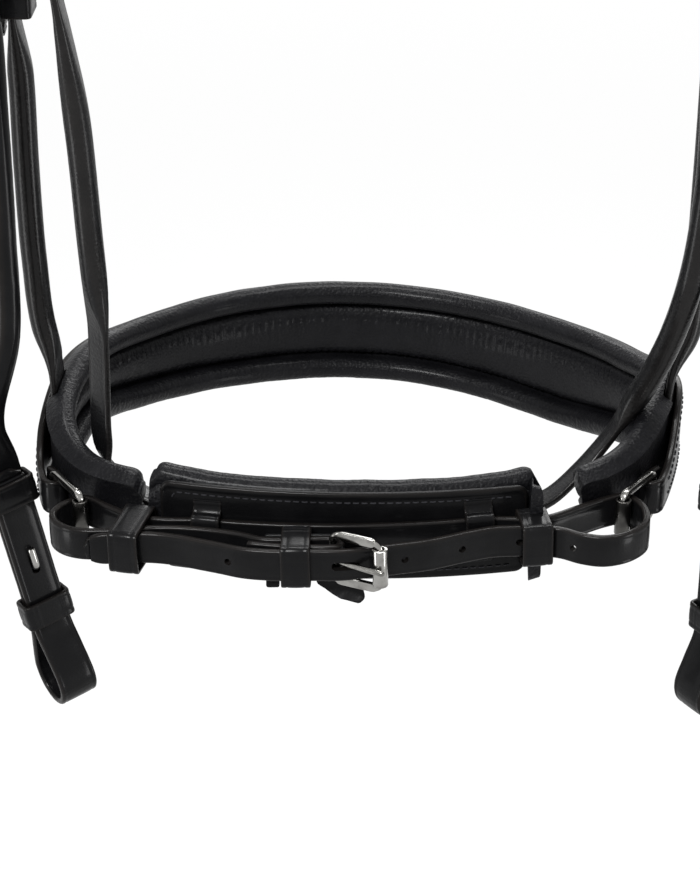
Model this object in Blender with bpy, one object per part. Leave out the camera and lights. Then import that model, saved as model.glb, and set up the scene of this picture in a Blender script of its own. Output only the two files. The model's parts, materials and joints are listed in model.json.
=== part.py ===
"""Dressage bridle with a padded crank noseband, hanging from its headpiece. Metres, +Z up.

The origin is the middle of the poll pad's underside, where a bridle bracket carries it.
+Y is the front of the horse's face, -Y the chin, +X the side that shows on the right from behind.
"""

import bisect
import math

import bmesh
import bpy
from mathutils import Matrix, Vector

# Clearances
TOUCH = 0.0004
SLIP = 0.0006

# Leather
STRAP_THICK = 0.0028
ROLL_DIAMETER = 0.0100
CHEEK_WIDTH = 0.0160
CRANK_WIDTH = 0.0130
THROAT_WIDTH = 0.0120
KEEPER_THICK = 0.0016
KEEPER_WIDTH = 0.0110
HOLE_DIAMETER = 0.0028

# Arch over the poll, as half an ellipse seen from the front
ARCH_HALF_WIDTH = 0.1190
ARCH_HEIGHT = 0.1300
POLL_PAD_THICK = 0.0090
POLL_PAD_WIDTH = 0.0460
POLL_PAD_ANGLE = 37.0
SEAT_ANGLE = 5.0
HEADPIECE_THICK = 0.0040
HEADPIECE_FRONT = 0.0150
HEADPIECE_BACK = -0.0300
FORK_ANGLE = 52.0

# Browband
BROWBAND_ANGLE = 45.0
BROWBAND_WIDTH = 0.0170
BROWBAND_THICK = 0.0026
BROWBAND_REACH = 0.1050
BROWBAND_DROP = 0.0350
BROWBAND_PAD_THICK = 0.0060

# Noseband, seen from above: half an ellipse in front, then a heel that turns in behind the jaw
NOSEBAND_DROP = 0.4000
NOSEBAND_SHIFT = 0.0500
NOSEBAND_HALF_WIDTH = 0.1250
NOSEBAND_FRONT = 0.0880
NOSEBAND_SIDE = -0.0420
HEEL_RADIUS = 0.0480
HEEL_ANGLE = 80.0
BAND_WIDTH = 0.0380
BAND_THICK = 0.0028
LINING_HEIGHT = 0.0460
LINING_THICK = 0.0062
LINING_ROLL = 0.0100
SIDE_SHARE = 0.72
RIGHT_SIDE = -0.0100
RIGHT_HEEL_WIDTH = 0.0484
RIGHT_HEEL_DEPTH = 0.0800
RIGHT_HEEL_SHARE = 0.60
# The noseband hangs by its sides: place along it from the left end to the right, upper edge, lower edge
NOSEBAND_EDGES = (
    (-1.00, 0.0170, -0.0140),
    (-0.86, 0.0188, -0.0120),
    (-0.72, 0.0275, -0.0074),
    (-0.57, 0.0310, -0.0060),
    (-0.41, 0.0262, -0.0150),
    (-0.24, 0.0240, -0.0212),
    (-0.08, 0.0225, -0.0238),
    (0.05, 0.0210, -0.0256),
    (0.21, 0.0200, -0.0280),
    (0.35, 0.0207, -0.0280),
    (0.50, 0.0250, -0.0188),
    (0.64, 0.0306, -0.0075),
    (0.74, 0.0300, -0.0040),
    (0.85, 0.0240, -0.0034),
    (1.00, 0.0205, -0.0080),
)

# Square ring with a sleeve, on each end of the noseband
RING_SHARE = 0.8425
RING_REACH = 0.0220
RING_WIRE = 0.0030
RING_INNER_HEIGHT = CRANK_WIDTH + 0.0024
RING_LEVELS = {-1: 0.0, 1: 0.0040}
SLEEVE_OUTER = RING_WIRE + 0.0030
SLEEVE_INNER = RING_WIRE + 0.0008

# Chin pad
CHIN_HALF_LENGTH = 0.0728
CHIN_SHIFT = -0.0062
CHIN_BOW = 0.0090
CHIN_FACE = -0.1050
CHIN_CUSHION_THICK = 0.0130
CHIN_CUSHION_HEIGHT = 0.0380
CHIN_FACING_THICK = 0.0024
CHIN_FACING_HEIGHT = 0.0340
BRIDGE_PLACE = CHIN_HALF_LENGTH - 0.0218
BRIDGE_LENGTH = 0.0110

# Buckles: the heel bar is at the origin of a buckle's own frame, u runs to the billet, n outward
BUCKLE_WIRE = 0.0025
BUCKLE_LENGTH = 0.0178
BUCKLE_RISE = 0.0110
BUCKLE_MARGIN = 0.0017
TONGUE_DIAMETER = 0.0022
GUARD_THICK = 0.0018
ROLLER_OUTER = BUCKLE_WIRE + 0.0033
ROLLER_INNER = BUCKLE_WIRE + 0.0009
CHAPE_PLY = BUCKLE_WIRE / 2 + TOUCH + STRAP_THICK / 2
BILLET_RISE = CHAPE_PLY + STRAP_THICK + TOUCH
GUARD_LOW = -(CHAPE_PLY + STRAP_THICK / 2 + SLIP + GUARD_THICK)

# Crank strap: it climbs a little from left to right
CRANK_LEVEL = 0.0018
CRANK_SLOPE = 0.022
CRANK_BUCKLE_X = -0.0095
CRANK_BUCKLE_GAP = 0.0021
CRANK_BUCKLE_Y = CHIN_FACE - TOUCH - STRAP_THICK + GUARD_LOW - SLIP - KEEPER_THICK - CRANK_BUCKLE_GAP
CRANK_BUCKLE_RISE = 0.0080
LEFT_KEEPER_X = -0.0853
RIGHT_KEEPER_X = 0.0655
HOLE_PITCH = 0.0222
HOLES_RIGHT = 5
HOLES_LEFT = 2
# Places on a strap of this thickness seen from above, measured from the axis of the ring's sleeve
LOOP_THICK = 0.0028
LEFT_LOOP = (
    (0.0179, -0.0192),
    (0.0103, -0.0196),
    (0.0028, -0.0194),
    (-0.0033, -0.0170),
    (-0.0078, -0.0125),
    (-0.0096, -0.0065),
    (-0.0068, 0.0005),
    (0.0003, 0.0058),
    (0.0110, -0.0014),
    (0.0207, -0.0083),
    (0.0312, -0.0112),
)
RIGHT_LOOP = (
    (-0.0296, -0.0108),
    (-0.0157, -0.0024),
    (-0.0058, 0.0036),
    (0.0009, 0.0060),
    (0.0065, -0.0002),
    (0.0080, -0.0080),
    (0.0072, -0.0150),
    (0.0032, -0.0205),
    (-0.0028, -0.0245),
    (-0.0088, -0.0259),
    (-0.0168, -0.0239),
)
# Places between the buckle's heel bar and a sleeve's axis, as shares of the way in x and in y
RIGHT_RUN = ((0.780, 0.312), (0.723, 0.370), (0.628, 0.374), (0.542, 0.346), (0.469, 0.254), (0.321, 0.025))
LEFT_PLY = ((0.512, 0.352), (0.687, 0.401))
LEFT_BILLET = ((0.348, -0.145), (0.425, -0.044), (0.507, 0.057), (0.589, 0.158), (0.701, 0.235), (0.803, 0.235))
LEFT_TIP = ((0.885, 0.215), (0.957, 0.215))

# Places of the upper buckles
CHEEK_BUCKLE_Z = -0.1600
NOSEBAND_BUCKLE_Z = -0.1850
THROAT_BUCKLE_Z = -0.1500
NOSEBAND_STRAP_Y = 0.0230
THROAT_Y = -0.0240
LEFT_THROAT_SHARE = 0.856
RIGHT_THROAT_SHARE = 0.992

# Cheekpieces
CHEEK_X = NOSEBAND_HALF_WIDTH + 0.0115
CHEEK_LOWER_Z = -NOSEBAND_DROP + 0.0135
CHEEK_LOOP_DROP = 0.1086
LOOP_RADIUS = 0.0105
LEFT_TURN = 55.0
RIGHT_TURN = 35.0
LEFT_LEAN = 12.0
RIGHT_LEAN = 0.0
CHEEK_BACK = 0.0220
CHEEK_LOWER_X = NOSEBAND_HALF_WIDTH + 0.0154
NOSEBAND_STRAP_X = NOSEBAND_HALF_WIDTH + 0.0040

BLACK_LEATHER = ((0.011, 0.011, 0.012, 1.0), 0.42, 0.0)
SOFT_LEATHER = ((0.016, 0.015, 0.016, 1.0), 0.60, 0.0)
STEEL = ((0.62, 0.61, 0.59, 1.0), 0.22, 1.0)

UP = Vector((0, 0, 1))
ORIGIN = Vector((0, 0, 0))


def clear_scene():
    for item in list(bpy.data.objects):
        bpy.data.objects.remove(item, do_unlink=True)


def finish_of(name, finish):
    """A material of the piece's own, with its colour, roughness and metallic value."""
    colour, roughness, metallic = finish
    material = bpy.data.materials.new(name)
    material.use_nodes = True
    shader = material.node_tree.nodes["Principled BSDF"]
    shader.inputs["Base Color"].default_value = colour
    shader.inputs["Roughness"].default_value = roughness
    shader.inputs["Metallic"].default_value = metallic
    material.diffuse_color = colour
    return material


def place(name, bm, finish, origin=ORIGIN, parent=None):
    """An object from a bmesh whose points are in its parent's frame, with its own origin moved to a point."""
    bmesh.ops.remove_doubles(bm, verts=bm.verts, dist=1e-7)
    bmesh.ops.recalc_face_normals(bm, faces=bm.faces)
    bmesh.ops.translate(bm, verts=bm.verts, vec=-origin)
    mesh = bpy.data.meshes.new(name)
    bm.to_mesh(mesh)
    bm.free()
    mesh.materials.append(finish_of(name, finish))
    mesh.shade_smooth()
    mesh.set_sharp_from_angle(angle=math.radians(40))
    piece = bpy.data.objects.new(name, mesh)
    piece.location = origin
    piece.parent = parent
    bpy.context.scene.collection.objects.link(piece)
    return piece


def frame_empty(name, location):
    empty = bpy.data.objects.new(name, None)
    empty.location = location
    bpy.context.scene.collection.objects.link(empty)
    return empty


def cutter_of(name, bm, parent=None):
    cutter = place(name, bm, BLACK_LEATHER, parent=parent)
    cutter.hide_render = True
    cutter.display_type = "WIRE"
    return cutter


def boolean(piece, other, operation="DIFFERENCE"):
    modifier = piece.modifiers.new(operation.title(), "BOOLEAN")
    modifier.operation = operation
    modifier.object = other


def hermite(start, end, leaving, arriving, t):
    """A value between two, with the slope it leaves the first and reaches the second at."""
    return (
        start * (2 * t**3 - 3 * t**2 + 1)
        + end * (3 * t**2 - 2 * t**3)
        + leaving * (t**3 - 2 * t**2 + t)
        + arriving * (t**3 - t**2)
    )


def smooth(value):
    """0 below 0, 1 above 1, and an even rise between."""
    value = min(1.0, max(0.0, value))
    return value * value * (3 - 2 * value)


def row_at(table, place_along):
    """A table's row at a value of its first column, on smooth lines through the rows."""
    after = min(max(bisect.bisect([row[0] for row in table], place_along), 1), len(table) - 1)
    ends = [table[i] for i in (max(after - 2, 0), after - 1, after, min(after + 1, len(table) - 1))]
    span = ends[2][0] - ends[1][0]
    t = (place_along - ends[1][0]) / span
    row = []
    for column in range(1, len(table[0])):
        leaving = (ends[2][column] - ends[0][column]) / (ends[2][0] - ends[0][0]) * span
        arriving = (ends[3][column] - ends[1][column]) / (ends[3][0] - ends[1][0]) * span
        row.append(hermite(ends[1][column], ends[2][column], leaving, arriving, t))
    return row


def curve_through(points, spacing=0.006):
    """A smooth line through points, and each of its points' place in the list, such as 2.5 for half-way on."""
    chords = [(b - a).length for a, b in zip(points, points[1:])]
    slopes = [(points[1] - points[0]) / chords[0]]
    for i in range(1, len(points) - 1):
        before, after = chords[i - 1], chords[i]
        back, ahead = (points[i] - points[i - 1]) / before, (points[i + 1] - points[i]) / after
        slopes.append((back * after + ahead * before) / (before + after))
    slopes.append((points[-1] - points[-2]) / chords[-1])
    line, orders = [], []
    for i, chord in enumerate(chords):
        steps = max(1, math.ceil(chord / spacing - 0.01))
        for step in range(steps):
            t = step / steps
            line.append(hermite(points[i], points[i + 1], slopes[i] * chord, slopes[i + 1] * chord, t))
            orders.append(i + t)
    return [*line, points[-1]], [*orders, float(len(chords))]


def arc(centre, radius, start, end, steps, side, rise):
    """Points on an arc in the plane of two unit vectors; angles in degrees."""
    points = []
    for step in range(steps + 1):
        angle = math.radians(start + (end - start) * step / steps)
        points.append(centre + side * radius * math.cos(angle) + rise * radius * math.sin(angle))
    return points


def flat_outline(width, thick, edge=0.0008):
    """A strap's section with bevelled edges: ten points, as many as a roll's."""
    x, y = width / 2, thick / 2
    right = [(x - edge, -y), (x, -y + edge), (x + edge * 0.2, 0), (x, y - edge), (x - edge, y)]
    return right + [(-px, -py) for px, py in right]


def slim_outline(width, thick, edge=0.0006):
    """A strap's section with bevelled edges: eight points."""
    x, y = width / 2, thick / 2
    right = [(x - edge, -y), (x, -y + edge), (x, y - edge), (x - edge, y)]
    return right + [(-px, -py) for px, py in right]


def round_outline(diameter, sides=10):
    turn = 2 * math.pi / sides
    first = -math.pi / 2 + turn / 2
    return [
        (diameter / 2 * math.cos(first + turn * i), diameter / 2 * math.sin(first + turn * i))
        for i in range(sides)
    ]


def blend(one, other, share):
    return [
        (ax + (bx - ax) * share, ay + (by - ay) * share)
        for (ax, ay), (bx, by) in zip(one, other)
    ]


def rings_of(path, acrosses, outlines, closed=False):
    """The ring of points of each station: x along the across direction, y along tangent x across."""
    rings = []
    count = len(path)
    for i, (point, across, outline) in enumerate(zip(path, acrosses, outlines)):
        before = path[i - 1] if closed else path[max(i - 1, 0)]
        after = path[(i + 1) % count] if closed else path[min(i + 1, count - 1)]
        tangent = (after - before).normalized()
        side = (across - tangent * across.dot(tangent)).normalized()
        normal = tangent.cross(side)
        rings.append([point + side * x + normal * y for x, y in outline])
    return rings


def sweep(path, acrosses, outlines, closed=False):
    """One closed body extruded ring by ring along a path."""
    if isinstance(acrosses, Vector):
        acrosses = [acrosses] * len(path)
    if isinstance(outlines[0], tuple):
        outlines = [outlines] * len(path)
    rings = rings_of(path, acrosses, outlines, closed)
    bm = bmesh.new()
    first = bm.faces.new([bm.verts.new(point) for point in rings[0]])
    cap = first
    for ring in rings[1:]:
        grown = bmesh.ops.extrude_face_region(bm, geom=[cap])
        if cap is not first:
            bmesh.ops.delete(bm, geom=[cap], context="FACES_ONLY")
        cap = next(item for item in grown["geom"] if isinstance(item, bmesh.types.BMFace))
        for vert, point in zip(cap.verts, ring):
            vert.co = point
    if closed:
        loops = list(first.edges) + list(cap.edges)
        bmesh.ops.delete(bm, geom=[first, cap], context="FACES_ONLY")
        bmesh.ops.bridge_loops(bm, edges=loops)
    return bm


def add(bm, other):
    """Joins another bmesh into this one, as a separate closed body."""
    mesh = bpy.data.meshes.new("joined")
    other.to_mesh(mesh)
    other.free()
    bm.from_mesh(mesh)
    bpy.data.meshes.remove(mesh)
    return bm


def box_at(centre, across, up, size):
    """A box with its sides along across, up and their cross product."""
    bm = bmesh.new()
    out = across.cross(up)
    turn = Matrix((across, up, out)).transposed().to_4x4()
    bmesh.ops.create_cube(bm, size=1.0, matrix=Matrix.Translation(centre) @ turn @ Matrix.Diagonal((*size, 1.0)))
    return bm


def rod_at(centre, axis, diameter, length, sides=12):
    bm = bmesh.new()
    turn = UP.rotation_difference(axis).to_matrix().to_4x4()
    bmesh.ops.create_cone(
        bm,
        cap_ends=True,
        segments=sides,
        radius1=diameter / 2,
        radius2=diameter / 2,
        depth=length,
        matrix=Matrix.Translation(centre) @ turn,
    )
    return bm


def sleeve(name, centre, axis, outer, inner, length, parent=None):
    """A tube that turns on a bar, with rounded rims."""
    side = axis.orthogonal().normalized()
    rim = (outer - inner) * 0.14
    outline = [
        (-length / 2, inner / 2),
        (-length / 2, outer / 2 - rim),
        (-length / 2 + rim, outer / 2),
        (length / 2 - rim, outer / 2),
        (length / 2, outer / 2 - rim),
        (length / 2, inner / 2),
    ]
    steps = 14
    bm = bmesh.new()
    points = [bm.verts.new(centre + axis * along + side * radius) for along, radius in outline]
    edges = [bm.edges.new((a, b)) for a, b in zip(points, points[1:] + points[:1])]
    bmesh.ops.spin(
        bm, geom=points + edges, cent=centre, axis=axis, angle=2 * math.pi, steps=steps, use_merge=True
    )
    return place(name, bm, STEEL, origin=centre, parent=parent)


def rounded_loop(half_across, half_along, radius, steps=3):
    """A closed rounded rectangle, as pairs of numbers, anticlockwise."""
    points = []
    for corner in range(4):
        sx = 1 if corner in (0, 3) else -1
        sy = 1 if corner in (0, 1) else -1
        for step in range(steps + 1):
            angle = math.radians(90 * corner + 90 * step / steps)
            points.append(
                (
                    sx * (half_across - radius) + radius * math.cos(angle),
                    sy * (half_along - radius) + radius * math.sin(angle),
                )
            )
    return points


class Frame:
    """A place on a strap: origin, across the strap, u along it, and n outward from its face."""

    def __init__(self, origin, along, out):
        self.origin = origin
        self.along = along.normalized()
        self.out = (out - self.along * out.dot(self.along)).normalized()
        self.across = self.out.cross(self.along)

    def at(self, u, n, v=0.0):
        return self.origin + self.along * u + self.out * n + self.across * v


def keeper(name, frame, stack_width, low, high, parent=None, width=KEEPER_WIDTH):
    """A leather loop round the plies between two heights above the frame's origin."""
    half_width = stack_width / 2 + SLIP + KEEPER_THICK / 2
    half_stack = (high - low) / 2 + SLIP + KEEPER_THICK / 2
    middle = (high + low) / 2
    path = [
        frame.at(0, middle + y, x)
        for x, y in rounded_loop(half_width, half_stack, KEEPER_THICK * 0.9, 2)
    ]
    x, y, edge = width / 2, KEEPER_THICK / 2, 0.0005
    outline = [(-x, y - edge), (-x, -y), (x, -y), (x, y - edge), (x - edge, y), (-x + edge, y)]
    bm = sweep(path, frame.along, outline, closed=True)
    return place(name, bm, BLACK_LEATHER, origin=frame.at(0, middle), parent=parent)


def buckle_frame(name, frame, strap_width, rise, corner, parent=None):
    """A rounded wire frame that rises from its heel bar to its toe bar."""
    half = strap_width / 2 + BUCKLE_MARGIN + BUCKLE_WIRE / 2
    slope = frame.along * BUCKLE_LENGTH + frame.out * rise
    tilted = Frame(frame.origin + slope / 2, slope, frame.out)
    path = [tilted.at(y, 0, x) for x, y in rounded_loop(half, slope.length / 2, corner, 2)]
    bm = sweep(path, tilted.out, round_outline(BUCKLE_WIRE, 8), closed=True)
    return place(name, bm, STEEL, origin=frame.origin, parent=parent)


def tongue(name, frame, rise, toe_diameter, parent=None):
    """A round bar hooked on the heel bar, through the billet and over the toe bar."""
    radius = BUCKLE_WIRE / 2 + TOUCH + TONGUE_DIAMETER / 2
    end = Vector((BUCKLE_LENGTH, rise + toe_diameter * 0.54 + TOUCH + TONGUE_DIAMETER / 2))
    # The bar leaves the hook on the tangent that meets the toe bar's outer side.
    reach = end.length
    aim = math.atan2(end.y, end.x)
    leave = math.degrees(aim + math.acos(radius / reach))
    hook = arc(frame.origin, radius, leave - 250, leave, 8, frame.along, frame.out)
    start = hook[-1]
    tip = frame.at(end.x, end.y)
    heading = (tip - start).normalized()
    path = hook + [start + heading * ((tip - start).length * t) for t in (0.5, 1.0)]
    path.append(tip + heading * 0.0016)
    outlines = [round_outline(TONGUE_DIAMETER, 6)] * (len(path) - 1)
    outlines.append(round_outline(TONGUE_DIAMETER * 0.6, 6))
    bm = sweep(path, frame.across, outlines)
    return place(name, bm, STEEL, origin=frame.origin, parent=parent)


def chape_points(frame):
    """The line of a strap folded round the heel bar, from the end of the turned-back ply to the front ply."""
    ply = CHAPE_PLY
    back = [frame.at(-0.0340, -ply * 0.62), frame.at(-0.0200, -ply * 0.70), frame.at(-0.0090, -ply * 0.92)]
    fold = arc(frame.origin, ply, 270, 450, 8, frame.along, frame.out)
    front = [frame.at(-0.0090, ply * 0.92), frame.at(-0.0200, ply * 0.70), frame.at(-0.0340, ply * 0.62)]
    return back + fold + front


def tongue_slot(frame):
    """A cutter for the slit in the fold that lets the tongue's hook round the heel bar."""
    centre = frame.at(0.0010, 0.0)
    plies = 2 * CHAPE_PLY + STRAP_THICK + 0.0005
    return box_at(centre, frame.across, frame.along, (TONGUE_DIAMETER + 2 * SLIP, 0.0130, plies))


def tongue_hole(frame, billet_height):
    """A cutter for the oblong hole in the billet that the tongue comes through."""
    centre = frame.at(2.5 * STRAP_THICK - 0.0019, billet_height + 0.0003)
    size = (TONGUE_DIAMETER + 2 * SLIP, 2.5 * STRAP_THICK + 0.0034, STRAP_THICK + 0.0016)
    return box_at(centre, frame.across, frame.along, size)


def arch_point(angle, offset, y=0.0, side=1):
    """A point over the poll: angle from the top in degrees, offset outward from the pad's underside."""
    turn = math.radians(angle)
    x = ARCH_HALF_WIDTH * math.sin(turn)
    z = -ARCH_HEIGHT * (1 - math.cos(turn))
    out = arch_normal(angle, side)
    return Vector((side * x, y, z)) + out * offset


def arch_normal(angle, side=1):
    turn = math.radians(angle)
    out = Vector((side * math.sin(turn) / ARCH_HALF_WIDTH, 0, math.cos(turn) / ARCH_HEIGHT))
    return out.normalized()


HEADSTRAP_OFFSET = POLL_PAD_THICK + TOUCH + STRAP_THICK / 2
HEADPIECE_OFFSET = HEADSTRAP_OFFSET + STRAP_THICK / 2 + TOUCH + HEADPIECE_THICK / 2


def poll_pad():
    """A crowned pad under the headpiece, flat on its underside at the middle, thinning to its ends."""
    path, outlines = [], []
    half_angles = [SEAT_ANGLE + (POLL_PAD_ANGLE - SEAT_ANGLE) * step / 8 for step in range(9)]
    for angle in [-angle for angle in reversed(half_angles)] + half_angles:
        share = 1 - (abs(angle) / POLL_PAD_ANGLE) ** 4
        thick = POLL_PAD_THICK * (0.45 + 0.55 * share)
        half = POLL_PAD_WIDTH / 2 * (0.80 + 0.20 * share)
        low = POLL_PAD_THICK - thick
        if abs(angle) == SEAT_ANGLE:
            low = ARCH_HEIGHT * (1 - math.cos(math.radians(SEAT_ANGLE)))
        path.append(arch_point(angle, 0))
        outlines.append(
            [
                (-half + 0.0040, low),
                (-half, low + 0.0040),
                (-half + 0.0006, POLL_PAD_THICK - 0.0016),
                (-half + 0.0030, POLL_PAD_THICK - 0.0004),
                (-half * 0.55, POLL_PAD_THICK - 0.0016),
                (0, POLL_PAD_THICK),
                (half * 0.55, POLL_PAD_THICK - 0.0016),
                (half - 0.0030, POLL_PAD_THICK - 0.0004),
                (half - 0.0006, POLL_PAD_THICK - 0.0016),
                (half, low + 0.0040),
                (half - 0.0040, low),
            ]
        )
    across = Vector((0, 1, 0))
    middle = (HEADPIECE_FRONT + HEADPIECE_BACK) / 2
    path = [point + across * middle for point in path]
    return place("poll_pad", sweep(path, across, outlines), SOFT_LEATHER)


def cheek_billet_path(side):
    """From the fork down to the cheek buckle and through its keepers."""
    heel = Vector((side * CHEEK_X, 0, CHEEK_BUCKLE_Z))
    points = [arch_point(a, HEADPIECE_OFFSET, 0.0, side) for a in (FORK_ANGLE - 4, FORK_ANGLE + 8, 72)]
    out = Vector((side, 0, 0))
    points += [
        heel + out * (BILLET_RISE + 0.0002) + UP * 0.034,
        heel + out * BILLET_RISE + UP * 0.020,
        heel + out * BILLET_RISE,
        heel + out * (BILLET_RISE - 0.0006) - UP * 0.018,
        heel + out * (BILLET_RISE - 0.0004) - UP * 0.034,
        heel + out * (BILLET_RISE + 0.0008) - UP * 0.046,
    ]
    return curve_through(points, 0.017)[0]


def throat_heel(side):
    share = LEFT_THROAT_SHARE if side < 0 else RIGHT_THROAT_SHARE
    return Vector((side * NOSEBAND_HALF_WIDTH * share, THROAT_Y, THROAT_BUCKLE_Z))


def throat_billet_path(side):
    """From the fork straight down to the throatlash buckle and through its keepers."""
    heel = throat_heel(side)
    out = Vector((side, 0, 0))
    points = [arch_point(a, HEADPIECE_OFFSET, THROAT_Y, side) for a in (FORK_ANGLE - 4, FORK_ANGLE + 4)]
    middle = points[-1].lerp(heel + out * BILLET_RISE, 0.42)
    points += [
        middle + out * 0.0050,
        heel + out * BILLET_RISE + UP * 0.024,
        heel + out * BILLET_RISE + UP * 0.010,
        heel + out * BILLET_RISE,
        heel + out * (BILLET_RISE - 0.0006) - UP * 0.018,
        heel + out * (BILLET_RISE - 0.0004) - UP * 0.034,
        heel + out * (BILLET_RISE + 0.0008) - UP * 0.044,
    ]
    return curve_through(points, 0.017)[0]


def tip_outlines(count, width, thick):
    """A strap's sections with a rounded point at its last stations."""
    outlines = [slim_outline(width, thick)] * (count - 2)
    return outlines + [slim_outline(width * 0.86, thick), slim_outline(width * 0.42, thick * 0.9)]


def headpiece():
    """The crown strap, forked on each side into a cheek billet and a throat billet."""
    across = Vector((0, 1, 0))
    middle = (HEADPIECE_FRONT + HEADPIECE_BACK) / 2
    width = HEADPIECE_FRONT - HEADPIECE_BACK
    angles = [-FORK_ANGLE + 2 * FORK_ANGLE * step / 16 for step in range(17)]
    path = [arch_point(angle, HEADPIECE_OFFSET, middle) for angle in angles]
    crown = sweep(path, across, slim_outline(width, HEADPIECE_THICK, 0.0010))
    piece = place("headpiece", crown, BLACK_LEATHER)
    for side, word in ((-1, "left"), (1, "right")):
        for kind, path, width, y in (
            ("cheek", cheek_billet_path(side), CHEEK_WIDTH, 0.0),
            ("throat", throat_billet_path(side), THROAT_WIDTH, THROAT_Y),
        ):
            body = sweep(path, across, tip_outlines(len(path), width, STRAP_THICK))
            boolean(piece, cutter_of(f"{word}_{kind}_billet_body", body), "UNION")
            heel = Vector((side * CHEEK_X, 0, CHEEK_BUCKLE_Z)) if kind == "cheek" else throat_heel(side)
            frame = Frame(heel, UP, Vector((side, 0, 0)))
            holes = tongue_hole(frame, BILLET_RISE)
            for drop in (-0.0150, -0.0400):
                add(holes, rod_at(frame.at(drop, BILLET_RISE - 0.0008), frame.out, HOLE_DIAMETER, 0.0070, 10))
            boolean(piece, cutter_of(f"{word}_{kind}_billet_holes", holes))
    return piece


def browband_path():
    """A loop round the headpiece at each end, joined by a bow round the forehead."""
    sides = {}
    for side in (-1, 1):
        out = arch_normal(BROWBAND_ANGLE, side)
        base = arch_point(BROWBAND_ANGLE, 0, 0.0, side)
        low = HEADSTRAP_OFFSET - STRAP_THICK / 2 - TOUCH - BROWBAND_THICK / 2 - 0.0003
        high = HEADPIECE_OFFSET + HEADPIECE_THICK / 2 + TOUCH + BROWBAND_THICK / 2 + 0.0003
        front = HEADPIECE_FRONT + 0.0150
        back = HEADPIECE_BACK - TOUCH - BROWBAND_THICK / 2 - 0.0006
        bend = (high - low) / 2
        forward = Vector((0, 1, 0))
        centre = base + forward * (back + bend * 0.4) + out * (low + bend)
        turn = arc(centre, bend, -90, -270, 8, forward, out)
        points = [base + forward * front + out * (high - BROWBAND_THICK - SLIP)]
        points += [base + forward * (HEADPIECE_FRONT + 0.0085) + out * (low + 0.0016)]
        points += [base + forward * y + out * low for y in (HEADPIECE_FRONT + 0.0025, -0.006, -0.022)]
        points += turn
        points += [base + forward * y + out * high for y in (-0.022, -0.008, HEADPIECE_FRONT)]
        points += [base + forward * front + out * (high + 0.0003)]
        sides[side] = points
    bow = []
    for degrees in (32, 54, 72, 90, 108, 126, 148):
        turn = math.radians(degrees)
        bow.append(
            Vector(
                (
                    0.0990 * math.cos(turn),
                    BROWBAND_REACH * math.sin(turn) ** 0.9,
                    -0.0300 - BROWBAND_DROP * math.sin(turn),
                )
            )
        )
    return sides[1] + bow + list(reversed(sides[-1]))


def browband():
    """The browband strap and the padded lining on its inner face."""
    points = browband_path()
    path, _ = curve_through(points, 0.015)
    slope = arch_normal(BROWBAND_ANGLE, 1)
    acrosses = []
    for point in path:
        share = min(1.0, max(0.0, (abs(point.x) - 0.045) / 0.045))
        side = 1 if point.x > 0 else -1
        lean = Vector((-side * slope.z, 0, slope.x))
        acrosses.append(UP.lerp(lean, share).normalized())
    strap = place(
        "browband", sweep(path, acrosses, slim_outline(BROWBAND_WIDTH, BROWBAND_THICK)), BLACK_LEATHER
    )
    offset = BROWBAND_THICK / 2 + TOUCH
    lining_path, lining_across, outlines = [], [], []
    bow = [(p, a) for p, a in zip(path, acrosses) if p.y > 0.052]
    count = len(bow)
    for i, (point, across) in enumerate(bow):
        before = bow[max(i - 1, 0)][0]
        after = bow[min(i + 1, count - 1)][0]
        tangent = (after - before).normalized()
        inward = tangent.cross(across).normalized()
        if inward.y > 0:
            inward = -inward
        lining_path.append(point + inward * offset)
        lining_across.append(across)
        share = 1 - (2 * i / (count - 1) - 1) ** 6
        outlines.append(pad_outline(BROWBAND_WIDTH * 0.98, BROWBAND_PAD_THICK * (0.5 + 0.5 * share), -1))
    pad = place("browband_pad", sweep(lining_path, lining_across, outlines), SOFT_LEATHER)
    return strap, pad


def pad_outline(width, thick, facing=1):
    """A crowned section: flat on the strap's side, domed on the other."""
    x = width / 2
    profile = [
        (x - 0.0006, 0.0),
        (x, thick * 0.35),
        (x * 0.86, thick * 0.80),
        (x * 0.45, thick),
        (-x * 0.45, thick),
        (-x * 0.86, thick * 0.80),
        (-x, thick * 0.35),
        (-x + 0.0006, 0.0),
    ]
    return [(px, facing * py) for px, py in profile]


def plan_point(place_along):
    """A point of the noseband's line seen from above, from -1 at the left end to 1 at the right."""
    share = abs(place_along)
    turn = math.radians(90 * share / SIDE_SHARE)
    depth = NOSEBAND_FRONT - NOSEBAND_SIDE
    front = Vector((NOSEBAND_HALF_WIDTH * math.sin(turn), NOSEBAND_SIDE + depth * math.cos(turn), 0))
    if place_along > 0:
        turn = math.radians(HEEL_ANGLE * (share - RIGHT_HEEL_SHARE) / (1 - RIGHT_HEEL_SHARE))
        x = NOSEBAND_HALF_WIDTH - RIGHT_HEEL_WIDTH * (1 - math.cos(turn))
        heel = Vector((x, RIGHT_SIDE - RIGHT_HEEL_DEPTH * math.sin(turn), 0))
        return front.lerp(heel, smooth((share - 0.50) / 0.20))
    if share > SIDE_SHARE:
        turn = math.radians(HEEL_ANGLE * (share - SIDE_SHARE) / (1 - SIDE_SHARE))
        x = NOSEBAND_HALF_WIDTH - HEEL_RADIUS * (1 - math.cos(turn))
        front = Vector((x, NOSEBAND_SIDE - HEEL_RADIUS * math.sin(turn), 0))
    return Vector((-front.x, front.y, 0))


def nose_point(place_along, offset):
    """A point beside the noseband's plan line, and the line's outward normal there."""
    step = 0.0005
    tangent = (plan_point(place_along + step) - plan_point(place_along - step)).normalized()
    normal = Vector((-tangent.y, tangent.x, 0))
    return plan_point(place_along) + normal * offset, normal


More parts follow.
